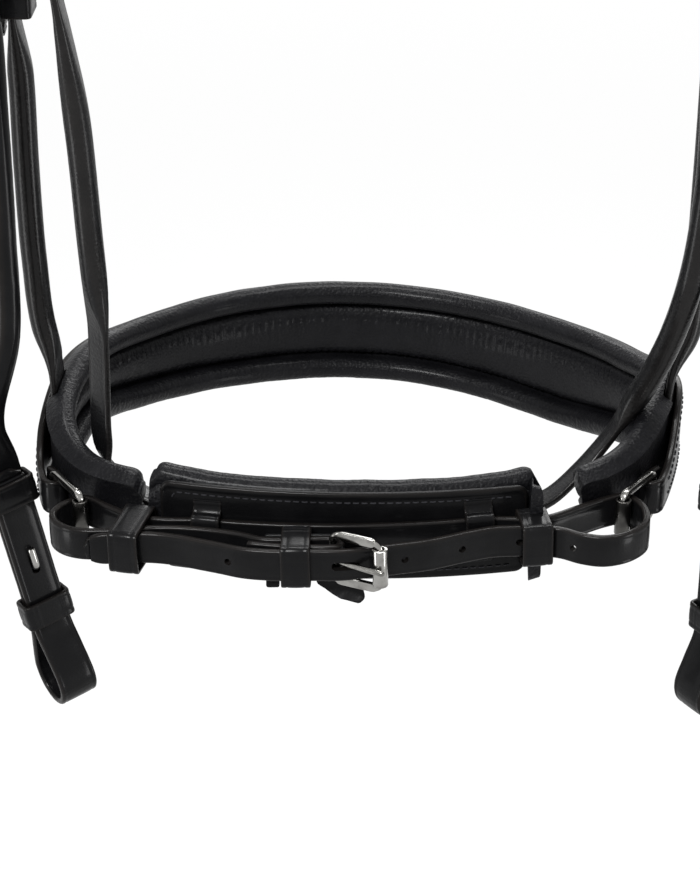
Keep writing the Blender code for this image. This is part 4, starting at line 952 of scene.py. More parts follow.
def tipped(run: Run, reach: float, least: float = 0.22) -> Run:
    """The run with its last stations drawn in to a rounded point.

    Args:
        run: The strap's run.
        reach: Length of the point.
        least: Share of the width that is left at the very end.

    Returns:
        The same run, its sections changed.
    """
    left = 0.0
    for i in range(len(run.points) - 1, 0, -1):
        share = min(1.0, left / reach)
        run.sections[i] = scaled(run.sections[i], domed(share, least), 1.0 if share > 0.15 else 0.9)
        left += (run.points[i] - run.points[i - 1]).length
        if left > reach:
            break
    return run


def strap_run(
    points: Sequence[Vector],
    spacing: float,
    section_at: Callable[[float], Outline],
    across_at: Callable[[float], Vector],
) -> Run:
    """A strap's run through points, its section and across direction given by the place in their list."""
    line, orders = curve_through(points, spacing)
    return Run(line, [across_at(order) for order in orders], [section_at(order) for order in orders])


THREAD_DIAMETER, STITCH_GAP = 0.00065, 0.0008


def stitches(seats: Sequence[Seat], pitch: float) -> Shape:
    """A row of stitches along a line, each a short thread that dips at both ends.

    Args:
        seats: Points along the row, close together, each with the surface's outward direction.
        pitch: Distance from one stitch to the next.

    Returns:
        One bmesh of them all.
    """
    lengths = reached([point for point, _ in seats])

    def seat(length: float) -> Seat:
        """The point and the outward direction at a length along the row."""
        after = next((i for i, far in enumerate(lengths) if far >= length and i > 0), len(lengths) - 1)
        share = (length - lengths[after - 1]) / max(1e-9, lengths[after] - lengths[after - 1])
        (a, out_a), (b, out_b) = seats[after - 1], seats[after]
        return a.lerp(b, share), out_a.lerp(out_b, share).normalized()

    threads = []
    for number in range(int(lengths[-1] / pitch)):
        points = []
        for share, lift in ((0.0, -0.6), (0.16, 0.15), (0.5, 0.35), (0.84, 0.15), (1.0, -0.6)):
            point, out = seat(number * pitch + STITCH_GAP / 2 + (pitch - STITCH_GAP) * share)
            points.append(point + out * THREAD_DIAMETER * lift)
        section = wire_section(THREAD_DIAMETER, 6)
        sections = [scaled(section, size, size) for size in (0.6, 1.0, 1.0, 1.0, 0.6)]
        across = seat(number * pitch)[1].cross(points[-1] - points[0])
        threads.append(skin(even(points, across, sections)))
    return joined(threads)


@dataclass
class BuckleSet:
    """A buckle with its tongue, the keeper sewn under it and the one that slides."""

    word: str
    place: Place
    width: float

    def build(self, bench: Bench) -> None:
        """Builds and lays out its four pieces."""
        word = self.word
        frame = wire_frame(self.place, self.width, BUCKLE.rise, BUCKLE.corner)
        bench.make(f"{word}_frame_steel", frame, f"{word}_buckle_frame", Finish.STEEL)
        tongue = tongue_skin(self.place, BUCKLE.rise, BUCKLE.wire)
        bench.make(f"{word}_tongue_steel", tongue, f"{word}_buckle_tongue", Finish.STEEL)
        high = BUCKLE.billet + CUT.thick / 2
        for name, drop, low in (("fixed_keeper", -0.0130, -0.0042), ("sliding_keeper", -0.0300, -0.0036)):
            here = Place(self.place.at(drop, 0), self.place.along, self.place.out)
            loop = keeper_skin(here, self.width, low, high, CUT.keeper_width)
            bench.make(f"{word}_{name}_leather", loop, f"{word}_{name}", Finish.STRAP)


# --- the crown and the browband


def softened(outline: Outline, steps: int) -> Outline:
    """A closed outline rounded through its points."""
    count, points = len(outline), []
    for i in range(count):
        before, a, b, after = (Vector(outline[(i + k) % count]) for k in (-1, 0, 1, 2))
        for step in range(steps):
            point = hermite(a, b, (b - before) / 2, (after - a) / 2, step / steps)
            points.append((point.x, point.y))
    return points


def edge_rows(middles: Iterable[tuple[Vector, Vector, Vector]]) -> dict[str, list[Seat]]:
    """The seats of two rows of stitches, from middles, ways to the upper row and outward directions."""
    places = list(middles)
    edges = (("upper", 1), ("lower", -1))
    return {word: [(middle + way * edge, out) for middle, way, out in places] for word, edge in edges}


@dataclass
class Crown:
    """The headpiece over the poll, forked into four billets, on its pad."""

    pad_thick: float = 0.0090
    pad_width: float = 0.0460
    pad_angle: float = 37.0
    seat_angle: float = 5.0
    fork: float = 52.0
    stitch_inset: float = 0.0036
    throat_y: float = -0.0240
    throat_z: float = -0.1500

    def throat_heel(self, side: Side) -> Vector:
        """Where a throatlash buckle's heel bar is."""
        return Vector((-0.1070 if side is Side.LEFT else 0.1240, self.throat_y, self.throat_z))

    def billet(self, side: Side, kind: str) -> tuple[Line, Vector]:
        """A billet's line from the fork to its tip, and its buckle's heel."""
        out = side.out
        if kind == "cheek":
            heel = Vector((side.value * CHEEK_X, 0, CHEEK_BUCKLE_Z))
            angles = (self.fork - 4, self.fork + 8, 72)
            points = [arch_point(a, HEADPIECE_OFFSET, 0.0, side.value) for a in angles]
            steps, tip = [(0.0002, 0.034), (0.0, 0.020)], -0.046
        else:
            heel = self.throat_heel(side)
            angles = (self.fork - 4, self.fork + 4)
            points = [arch_point(a, HEADPIECE_OFFSET, self.throat_y, side.value) for a in angles]
            points.append(points[-1].lerp(heel + out * BUCKLE.billet, 0.42) + out * 0.0050)
            steps, tip = [(0.0, 0.024), (0.0, 0.010)], -0.044
        steps += [(0.0, 0.0), (-0.0006, -0.018), (-0.0004, -0.034), (0.0008, tip)]
        return points + [heel + out * (BUCKLE.billet + lift) + UP * rise for lift, rise in steps], heel

    def pad(self) -> Shape:
        """The crowned pad, soft at its edges and thinning to its ends."""
        points, sections = [], []
        count, limit = 96, self.pad_angle
        middle = (HEADPIECE_FRONT + HEADPIECE_BACK) / 2
        for i in range(count + 1):
            angle = -limit + 2 * limit * i / count
            share = 1 - (abs(angle) / limit) ** 4
            thick = self.pad_thick * (0.45 + 0.55 * share)
            half = self.pad_width / 2 * (0.80 + 0.20 * share)
            low, top = self.pad_thick - thick, self.pad_thick
            if abs(angle) < self.seat_angle:
                low = ARCH_HEIGHT * (1 - math.cos(math.radians(angle)))
            side = [(half, low + 0.0034), (half + 0.0002, top - 0.0030), (half - 0.0022, top - 0.0003)]
            side += [(half * 0.62, top - 0.0018), (half * 0.30, top - 0.0003)]
            row = [(half - 0.0036, low)] + side
            row += [(-x, y) for x, y in reversed(row)]
            row += [(-half * 0.5, low), (half * 0.5, low)]
            points.append(arch_point(angle, 0, middle))
            sections.append(softened(row, 4))
        return skin(rounded_ends(even(points, FORWARD, sections), 0.0016), self.plump)

    @staticmethod
    def plump(spot: int, along: float) -> float:
        """Small hollows where the pad's filling has settled."""
        return 0.00030 * ripple(along * 60, spot * 0.35, 2.0)

    def build(self, bench: Bench) -> None:
        """Builds the pad, the headpiece and the upper stitch rows."""
        bench.make("poll_pad_soft", self.pad(), "poll_pad", Finish.LINING)
        middle = (HEADPIECE_FRONT + HEADPIECE_BACK) / 2
        width = HEADPIECE_FRONT - HEADPIECE_BACK
        angles = [-self.fork + 2 * self.fork * step / 90 for step in range(91)]
        points = [arch_point(angle, HEADPIECE_OFFSET, middle) for angle in angles]
        section = strap_section(width, HEADPIECE_THICK, 0.0030)
        parts = [skin(rounded_ends(even(points, FORWARD, section)))]
        cutters = []
        for side in Side:
            for kind, strap_width in (("cheek", CUT.cheek), ("throat", CUT.throat)):
                line, heel = self.billet(side, kind)
                flat = strap_section(strap_width, CUT.thick)
                run = strap_run(line, 0.0030, lambda order, flat=flat: flat, lambda order: FORWARD)
                parts.append(skin(rounded_ends(tipped(run, 0.0090))))
                place = Place(heel, UP, side.out)
                cutters.append(tongue_hole(place, BUCKLE.billet))
                cutters += [
                    rod(place.at(drop, BUCKLE.billet - 0.0008), place.out, CUT.hole, 0.0070)
                    for drop in (-0.0150, -0.0400)
                ]
        piece = punched(object_of("headpiece_leather", joined(parts)), [joined(cutters)])
        bench.lay(piece, "headpiece", Finish.STRAP)
        lift, inset = HEADPIECE_OFFSET + HEADPIECE_THICK / 2, self.stitch_inset
        rows = {
            word: [(arch_point(a * 0.5, lift, y), arch_normal(a * 0.5)) for a in range(-80, 81)]
            for word, y in (("front", HEADPIECE_FRONT - inset), ("back", HEADPIECE_BACK + inset))
        }
        bench.sew("headpiece", "headpiece", rows, 0.0036)


@dataclass
class Browband:
    """The browband: a padded bow round the forehead, with a loop round the headpiece at each end."""

    angle: float = 45.0
    width: float = 0.0170
    thick: float = 0.0026
    reach: float = 0.1050
    drop: float = 0.0350
    pad: float = 0.0060
    overhang: float = 0.0150
    stitch_inset: float = 0.0034

    def line(self) -> Line:
        """The strap's line, from the right loop to the left one."""
        ends = {}
        for side in Side:
            out = arch_normal(self.angle, side.value)
            base = arch_point(self.angle, 0, 0.0, side.value)
            low = HEADSTRAP_OFFSET - CUT.thick / 2 - CUT.touch - self.thick / 2 - 0.0003
            high = HEADPIECE_OFFSET + HEADPIECE_THICK / 2 + CUT.touch + self.thick / 2 + 0.0003
            front = HEADPIECE_FRONT + self.overhang
            back = HEADPIECE_BACK - CUT.touch - self.thick / 2 - 0.0006
            bend = (high - low) / 2
            centre = base + FORWARD * (back + bend * 0.4) + out * (low + bend)
            inner = [(front, high - self.thick - CUT.slip), (HEADPIECE_FRONT + 0.0085, low + 0.0016)]
            inner += [(y, low) for y in (HEADPIECE_FRONT + 0.0025, -0.006, -0.022)]
            outer = [(y, high) for y in (-0.022, -0.008, HEADPIECE_FRONT)] + [(front, high + 0.0003)]
            points = [base + FORWARD * y + out * n for y, n in inner]
            points += arc(centre, bend, -90, -270, 8, FORWARD, out)
            ends[side] = points + [base + FORWARD * y + out * n for y, n in outer]
        bow = []
        for degrees in (32, 54, 72, 90, 108, 126, 148):
            turn = math.radians(degrees)
            x, y = 0.0990 * math.cos(turn), self.reach * math.sin(turn) ** 0.9
            bow.append(Vector((x, y, -0.0300 - self.drop * math.sin(turn))))
        return ends[Side.RIGHT] + bow + list(reversed(ends[Side.LEFT]))

    def build(self, bench: Bench) -> None:
        """Builds the strap, its pad and the two stitch rows along its front."""
        points, _ = curve_through(self.line(), 0.0030)
        slope = arch_normal(self.angle, 1)
        acrosses = []
        for point in points:
            side = 1 if point.x > 0 else -1
            lean = Vector((-side * slope.z, 0, slope.x))
            acrosses.append(UP.lerp(lean, clamped((abs(point.x) - 0.045) / 0.045)).normalized())
        section = strap_section(self.width, self.thick, 0.0018)
        strap = Run(points, acrosses, [section] * len(points))
        bench.make("browband_leather", skin(rounded_ends(strap)), "browband", Finish.STRAP)
        bow = [i for i, point in enumerate(points) if point.y > 0.052]
        frames = strap.frames()
        pad_points, pad_sections, middles = [], [], []
        for number, i in enumerate(bow):
            side, out = frames[i]
            inward = out if out.y < 0 else -out
            pad_points.append(points[i] + inward * (self.thick / 2 + CUT.touch))
            share = 1 - (2 * number / (len(bow) - 1) - 1) ** 6
            pad_sections.append(self.pad_section(self.pad * (0.5 + 0.5 * share)))
            way = side * (self.width / 2 - self.stitch_inset)
            middles.append((points[i] - inward * self.thick / 2, way, -inward))
        sweep = Run(pad_points, [acrosses[i] for i in bow], pad_sections)
        pad = skin(rounded_ends(sweep, 0.0012), Crown.plump)
        bench.make("browband_pad_soft", pad, "browband_pad", Finish.LINING)
        bench.sew("browband", "browband", edge_rows(middles), 0.0034)

    def pad_section(self, thick: float) -> Outline:
        """A crowned pad against the strap's inner face, drawn in at its seam."""
        x = self.width * 0.98 / 2
        row = [(x - 0.0008, 0.0), (x + 0.0002, thick * 0.38), (x * 0.84, thick * 0.84)]
        row.append((x * 0.42, thick * 1.04))
        row += [(-px, py) for px, py in reversed(row)]
        return softened([(px, -py) for px, py in row], 4)


# --- the noseband


# The noseband hangs by its sides: place along it from the left end to the right, upper edge, lower edge
NOSEBAND_EDGES: tuple[Row, ...] = (
    (-1.00, 0.0170, -0.0140), (-0.86, 0.0188, -0.0120), (-0.72, 0.0275, -0.0074), (-0.57, 0.0310, -0.0060),
    (-0.41, 0.0262, -0.0150), (-0.24, 0.0240, -0.0212), (-0.08, 0.0225, -0.0238), (0.05, 0.0210, -0.0256),
    (0.21, 0.0200, -0.0280), (0.35, 0.0207, -0.0280), (0.50, 0.0250, -0.0188), (0.64, 0.0306, -0.0075),
    (0.74, 0.0300, -0.0040), (0.85, 0.0240, -0.0034), (1.00, 0.0205, -0.0080),
)
SIDE_SHARE, RING_SHARE = 0.72, 0.8425
RING_REACH, RING_WIRE, RING_HEIGHT = 0.0220, 0.0030, 0.0154
RING_LEVELS = {Side.LEFT: 0.0, Side.RIGHT: 0.0040}


def plan_point(place: float) -> Vector:
    """A point of the noseband's line seen from above, from -1 at the left end to 1 at the right."""
    share = abs(place)
    turn = math.radians(90 * share / SIDE_SHARE)
    front = Vector((0.1250 * math.sin(turn), -0.0420 + 0.1300 * math.cos(turn), 0))
    if place > 0:
        turn = math.radians(80 * (share - 0.60) / 0.40)
        heel = Vector((0.1250 - 0.0484 * (1 - math.cos(turn)), -0.0100 - 0.0800 * math.sin(turn), 0))
        return front.lerp(heel, smooth((share - 0.50) / 0.20))
    if share > SIDE_SHARE:
        turn = math.radians(80 * (share - SIDE_SHARE) / (1 - SIDE_SHARE))
        front = Vector((0.1250 - 0.0480 * (1 - math.cos(turn)), -0.0420 - 0.0480 * math.sin(turn), 0))
    return Vector((-front.x, front.y, 0))


def nose_point(place: float, offset: float) -> tuple[Vector, Vector]:
    """A point beside the noseband's plan line, and the line's outward normal there."""
    tangent = (plan_point(place + 0.0005) - plan_point(place - 0.0005)).normalized()
    normal = Vector((-tangent.y, tangent.x, 0))
    return plan_point(place) + normal * offset, normal


def nose_level(place: float) -> Pair:
    """The height of the noseband's middle, and how tall it is, at a place along it."""
    top, bottom = row_at(NOSEBAND_EDGES, place)
    return (top + bottom) / 2, top - bottom


def ring_places(side: Side) -> tuple[Vector, Vector, Vector, Vector]:
    """A ring's chape bar, its sleeve's bar, the way from one to the other and the way out."""
    point, normal = nose_point(side.value * RING_SHARE, 0)
    tangent = Vector((normal.y, -normal.x, 0)) * side.value
    bar = point + normal * (CUT.thick / 2 + RING_WIRE / 2 + 2 * CUT.touch + CUT.slip)
    bar.z = RING_LEVELS[side]
    return bar, bar + tangent * RING_REACH, tangent, normal


def headstrap_seat(side: Side) -> tuple[Vector, Vector, Vector]:
    """Where the headstrap's flat end lies inside the outer band."""
    place = side.value * SIDE_SHARE * 85 / 90
    point, normal = nose_point(place, 0)
    return point + UP * nose_level(place)[0], normal, Vector((normal.y, -normal.x, 0)) * side.value


@dataclass
class Noseband:
    """The padded noseband: a lining with two rolls and a panel, an outer strap, and a ring at each end."""

    thick: float = 0.0062
    roll: float = 0.0050
    crown: float = 0.0021
    pucker: float = 0.0034
    stitch_inset: float = 0.0040
    stations: int = 430

    def section(self, height: float) -> Outline:
        """The lining's section for a height: a flat back, and two rolls beside a crowned panel."""
        c, r, rise = height / 2 - self.roll, self.roll, self.thick - 0.0004
        # The back ends in the piping that the rolls' skin is sewn in with.
        half = [(0.0, 0.0004), (-c + r * 0.10, 0.0004), (-c - r * 0.30, -0.0007), (-c - r * 0.54, 0.0008)]
        for step in range(17):
            turn = math.radians(228 - 246 * step / 16)
            half.append((-c + r * math.cos(turn), rise + r * math.sin(turn)))
        seam = ((1.06, 0.62), (1.16, 0.72), (1.30, 0.42))
        half += [(-c + r * across, rise - r * down) for across, down in seam]
        inner, shoulder = max(0.0006, c - r * 1.48), self.thick * 0.85
        for step in range(6):
            share = step / 6
            swell = self.crown * math.sin(math.pi / 2 * share) ** 0.7
            half.append((-inner * (1 - share), shoulder + swell))
        whole = half + [(0.0, shoulder + self.crown)]
        return whole + [(-x, y) for x, y in reversed(half[1:])]

    def lift(self, spot: int, along: float) -> float:
        """The lining's own unevenness: settled foam, folds across it and puckers at its seams."""
        # Puckers run along the lower seam and over the panel's upper half; the flat back has no folds.
        from_seam = min(abs(spot - 22), abs(spot - 33))
        soft = 0.00026 * ripple(along * 70, spot * 0.16, 0.0)
        folds = abs(ripple(along * 330, spot * 0.10, 5.0)) ** 0.7
        fold = -0.00016 * folds if 4 < spot < 50 else 0.0
        pucker = 0.00040 * math.sin(2 * math.pi * along / self.pucker) * max(0.0, 1 - from_seam / 4)
        return soft + fold + pucker

    def lining(self) -> Shape:
        """The padded inner face, drawn in and rounded at both ends."""
        points, sections = [], []
        for i in range(self.stations):
            place = -1 + 2 * i / (self.stations - 1)
            point, _ = nose_point(place, -0.0002)
            middle, height = nose_level(place)
            size = domed(min(1.0, (1 - abs(place)) / 0.022), 0.74)
            points.append(NOSEBAND + point + UP * middle)
            sections.append([(x * size, y * size + 0.0014 * (1 - size)) for x, y in self.section(height)])
        return skin(rounded_ends(even(points, UP, sections), 0.0010), self.lift)

    def half_band(self, side: Side) -> list[tuple[Vector, float]]:
        """One half of the outer strap from the front: its line, and its width at each point."""
        last, narrow = RING_SHARE - 0.004, RING_HEIGHT - 0.0012
        bar, _, tangent, normal = ring_places(side)
        fold, flat = RING_WIRE / 2 + CUT.touch + CUT.thick / 2, CUT.thick / 2 + CUT.touch
        full = (bar - nose_point(side.value * RING_SHARE, 0)[0]).dot(normal) + fold
        half = []
        for i in range(101):
            share = last * i / 100
            rise = max(0.0, (share - 0.66) / (last - 0.66)) ** 2
            middle, height = nose_level(side.value * share)
            point, _ = nose_point(side.value * share, flat + (full - flat) * rise)
            point.z = middle + (bar.z - middle) * smooth((share - 0.60) / 0.23)
            half.append((point, mix(height - 0.0080, narrow, smooth((share - 0.68) / 0.14))))
        half += [(point, narrow) for point in arc(bar, fold, 90, -80, 14, tangent, normal)[1:]]
        end = half[-1][0]
        back = ((0.0050, -0.0001), (0.0095, 0.0004))
        return half + [(end - tangent * along + normal * out, narrow) for along, out in back]

    def build(self, bench: Bench) -> None:
        """Builds the lining, the outer strap with its stitches, and the two rings with their sleeves."""
        pockets = []
        for side in Side:
            base, _, along = headstrap_seat(side)
            size = (CUT.cheek + 2 * CUT.slip, 0.0400, (CUT.thick + 0.0010) * 2)
            pockets.append(block(NOSEBAND + base + UP * 0.0110, along, UP, size))
        lining = punched(object_of("noseband_lining_soft", self.lining(), 60), [joined(pockets)])
        bench.lay(lining, "noseband_lining", Finish.LINING)
        whole = list(reversed(self.half_band(Side.LEFT)[1:])) + self.half_band(Side.RIGHT)
        points = [NOSEBAND + point for point, _ in whole]
        sections = [strap_section(width, CUT.thick, 0.0024) for _, width in whole]
        run = even(points, UP, sections)
        bench.make("noseband_band_leather", skin(rounded_ends(run)), "noseband_band", Finish.STRAP)
        frames, middles = run.frames(), []
        for i in range(18, len(points) - 18):
            across, out = frames[i]
            out = -out if out.dot(points[i] - Vector((0, 0.03, points[i].z))) < 0 else out
            way = across * (whole[i][1] / 2 - self.stitch_inset)
            middles.append((points[i] + out * CUT.thick / 2, way, out))
        bench.sew("noseband_band", "noseband_band", edge_rows(middles), 0.0034)
        for side in Side:
            self.ring(side, bench)

    def ring(self, side: Side, bench: Bench) -> None:
        """A flat bevelled square ring with a turned sleeve on its outer bar."""
        bar, far, tangent, normal = ring_places(side)
        half_height = (RING_HEIGHT + RING_WIRE) / 2
        loop = straightened(rounded_loop(RING_REACH / 2, half_height, 0.0026, 6), 0.0014)
        middle = NOSEBAND + (bar + far) / 2
        points = [middle + tangent * x + UP * z for x, z in loop]
        flat = bar_section(0.0025, 0.0031, 0.0005)
        word, made = side.word, skin(even(points, normal, flat, closed=True))
        bench.make(f"{word}_ring_steel", made, f"{word}_square_ring", Finish.STEEL, sharp=30)
        length = RING_HEIGHT - 2 * CUT.touch
        sleeve = tube(NOSEBAND + far, UP, RING_WIRE + 0.0030, RING_WIRE + 0.0012, length, 5.0)
        bench.make(f"{word}_sleeve_steel", sleeve, f"{word}_ring_sleeve", Finish.DARK_STEEL)


# --- the chin pad and the crank strap


CHIN_HALF_LENGTH, CHIN_SHIFT, CHIN_FACE, BRIDGE_PLACE = 0.0728, -0.0062, -0.1050, 0.0510
CRANK_SLOPE = 0.022
# The crank strap round each ring's sleeve: metres right of and in front of the sleeve's middle.
LEFT_LOOP = (
    (0.0179, -0.0192), (0.0103, -0.0196), (0.0028, -0.0194), (-0.0033, -0.0170), (-0.0078, -0.0125),
    (-0.0096, -0.0065), (-0.0068, 0.0005), (0.0003, 0.0058), (0.0110, -0.0014), (0.0207, -0.0083),
    (0.0312, -0.0112),
)
RIGHT_LOOP = (
    (-0.0296, -0.0108), (-0.0157, -0.0024), (-0.0058, 0.0036), (0.0009, 0.0060), (0.0065, -0.0002),
    (0.0080, -0.0080), (0.0072, -0.0150), (0.0032, -0.0205), (-0.0028, -0.0245), (-0.0088, -0.0259),
    (-0.0168, -0.0239),
)
# Its straighter runs: shares of the way from the buckle's heel bar to a ring's sleeve, along X and Y.
RIGHT_RUN = ((0.780, 0.312), (0.723, 0.370), (0.628, 0.374), (0.542, 0.346), (0.469, 0.254), (0.321, 0.025))
LEFT_PLY = ((0.348, 0.210), (0.512, 0.352), (0.687, 0.401))
LEFT_BILLET = (
    (0.348, -0.145), (0.425, -0.044), (0.507, 0.057), (0.589, 0.158), (0.701, 0.235), (0.803, 0.235),
    (0.885, 0.215), (0.957, 0.215),
)
# The leather under the buckle, along the strap and across it from the heel bar: its tongue hangs below.
GUARD_OUTLINE = (
    (-0.0255, -0.0150), (-0.0255, 0.0060), (0.0080, 0.0060), (0.0140, 0.0020), (0.0140, -0.0050),
    (0.0092, -0.0100), (0.0118, -0.0186), (0.0096, -0.0203), (0.0020, -0.0186), (-0.0066, -0.0136),
    (-0.0066, -0.0064), (-0.0204, -0.0064), (-0.0204, -0.0150),
)


def chin_line(x: float, offset: float) -> Vector:
    """The chin pad's outer face seen from above, moved outward by an offset."""
    bow = 0.0090 * ((x - CHIN_SHIFT) / CHIN_HALF_LENGTH) ** 2
    return Vector((x, CHIN_FACE + bow - offset, 0))


def on_crank(point: Vector) -> Vector:
    """The point moved up or down to the crank strap's middle."""
    return Vector((point.x, point.y, 0.0018 + CRANK_SLOPE * point.x))


@dataclass
class ChinPad:
    """The pad behind the crank strap: a grained cushion and a stitched facing with two bridges."""

    thick: float = 0.0130
    height: float = 0.0380
    roll: float = 0.0050
    upturn: float = 0.0030
    facing_thick: float = 0.0024
    facing_height: float = 0.0365
    facing_rise: float = 0.0012
    facing_half: float = CHIN_HALF_LENGTH - 0.0046
    corner: float = 0.0030
    stitch_inset: float = 0.0034

    def cushion(self) -> Shape:
        """The cushion, full along its edges and rounded at its ends."""
        points, sections, count = [], [], 190
        for i in range(count):
            share = -1 + 2 * i / (count - 1)
            size = domed(min(1.0, (1 - abs(share)) * CHIN_HALF_LENGTH / 0.0040), 0.86)
            base = chin_line(CHIN_SHIFT + share * CHIN_HALF_LENGTH, -(self.facing_thick + CUT.touch))
            points.append(NOSEBAND + base)
            sections.append(self.cushion_section(size, self.upturn * abs(share) ** 5))
        return skin(rounded_ends(even(points, UP, sections), 0.0016), self.lift)

    def cushion_section(self, size: float, upturn: float) -> Outline:
        """A panel between two rolls that stand up behind the facing's edges.

        Args:
            size: Share of its full size, less than 1 towards an end.
            upturn: How much higher the upper roll stands here.

        Returns:
            Its points, anticlockwise from the upper seam.
        """
        high, thick, r = self.height / 2, self.thick, self.roll
        half = [(high - r * 1.45, -0.0001), (high - r * 1.20, -0.0010), (high - r * 1.02, -0.0022)]
        for step in range(17):
            turn = math.radians(158 - 236 * step / 16)
            half.append((high + 0.0012 - r + r * math.cos(turn), -thick * 0.52 + r * math.sin(turn)))
        half += [(high - r * 1.7, -thick * 0.90), (high * 0.30, -thick), (0.0, -thick * 1.02)]
        whole = [(x + upturn * smooth(x / high), y) for x, y in half]
        whole += [(-x, y) for x, y in reversed(half[:-1])]
        return [(x * size, y * size) for x, y in whole]

    @staticmethod
    def lift(spot: int, along: float) -> float:
        """Folds over the rolls, and small puckers where they are sewn to the facing."""
        fold = abs(ripple(along * 300, spot * 0.22, 9.0)) ** 0.7
        near_seam = max(0.0, 1 - min(spot, abs(44 - spot)) / 5)
        pucker = 0.00008 * math.sin(2 * math.pi * along / 0.0034) * near_seam
        return 0.00024 * ripple(along * 90, spot * 0.2, 3.0) - 0.00012 * fold + pucker

    def half_height(self, x: float) -> float:
        """Half of the facing's height at a distance from its middle: its corners are round."""
        left = self.facing_half - abs(x)
        full = self.facing_height / 2
        if left >= self.corner:
            return full
        return full - self.corner + math.sqrt(self.corner**2 - (self.corner - left) ** 2)

    def facing(self) -> list[Shape]:
        """The facing with its bound edge, and the two bridges over the strap."""
        inward = self.facing_thick / 2 + 0.0002
        places = [self.facing_half * math.sin(math.pi / 2 * (-1 + 2 * i / 130)) for i in range(131)]
        points, sections, border = [], [], []
        for x in places:
            base = NOSEBAND + chin_line(CHIN_SHIFT + x, -inward) + UP * self.facing_rise
            points.append(base)
            high = self.half_height(x)
            sections.append(strap_section(2 * high, self.facing_thick, 0.0023))
            border.append(base + UP * (high - 0.0007))
        parts = [skin(even(points, UP, sections))]
        lower = [Vector((point.x, point.y, 2 * base.z - point.z)) for point, base in zip(border, points)]
        rim = border + list(reversed(lower))
        parts.append(skin(even(rim, FORWARD, wire_section(self.facing_thick), closed=True)))
        for side in Side:
            x = CHIN_SHIFT + side.value * BRIDGE_PLACE
            here = on_crank(chin_line(x, 0))
            along = (on_crank(chin_line(x + 0.001, 0)) - here).normalized()
            out = along.cross(UP).normalized()
            up = out.cross(along)
            top = CUT.thick + 2 * CUT.slip + CUT.keeper_thick / 2
            edge = CUT.crank / 2 + CUT.slip + CUT.keeper_thick / 2
            line = [(-edge - 0.0056, -0.0006), (-edge - 0.0012, 0.0004), (-edge, 0.0016)]
            line += [(-edge, top - 0.0014), (-edge + 0.0006, top - 0.0003), (-edge + 0.0016, top)]
            line += [(-a, b) for a, b in reversed(line)]
            path, _ = curve_through([NOSEBAND + here + up * a + out * b for a, b in line], 0.0006)
            strap = strap_section(0.0110, CUT.keeper_thick, 0.0014)
            parts.append(skin(rounded_ends(even(path, along, strap))))
        return parts

    def build(self, bench: Bench) -> None:
        """Builds the cushion, the facing and its row of stitches."""
        cushion, facing = self.cushion(), joined(self.facing())
        bench.make("chin_cushion_soft", cushion, "chin_pad_cushion", Finish.LINING, sharp=60)
        bench.make("chin_facing_leather", facing, "chin_pad_facing", Finish.FACING)
        inset, half, middles = self.stitch_inset, self.facing_half, []
        for i in range(141):
            x = (half - inset) * math.sin(math.pi / 2 * (-1 + 2 * i / 140))
            high = self.half_height(x * half / (half - inset)) - inset
            base = NOSEBAND + chin_line(CHIN_SHIFT + x, -0.0002) + UP * self.facing_rise
            middles.append((base, UP * high, -FORWARD))
        bench.sew("chin_facing", "chin_pad_facing", edge_rows(middles), 0.0032)


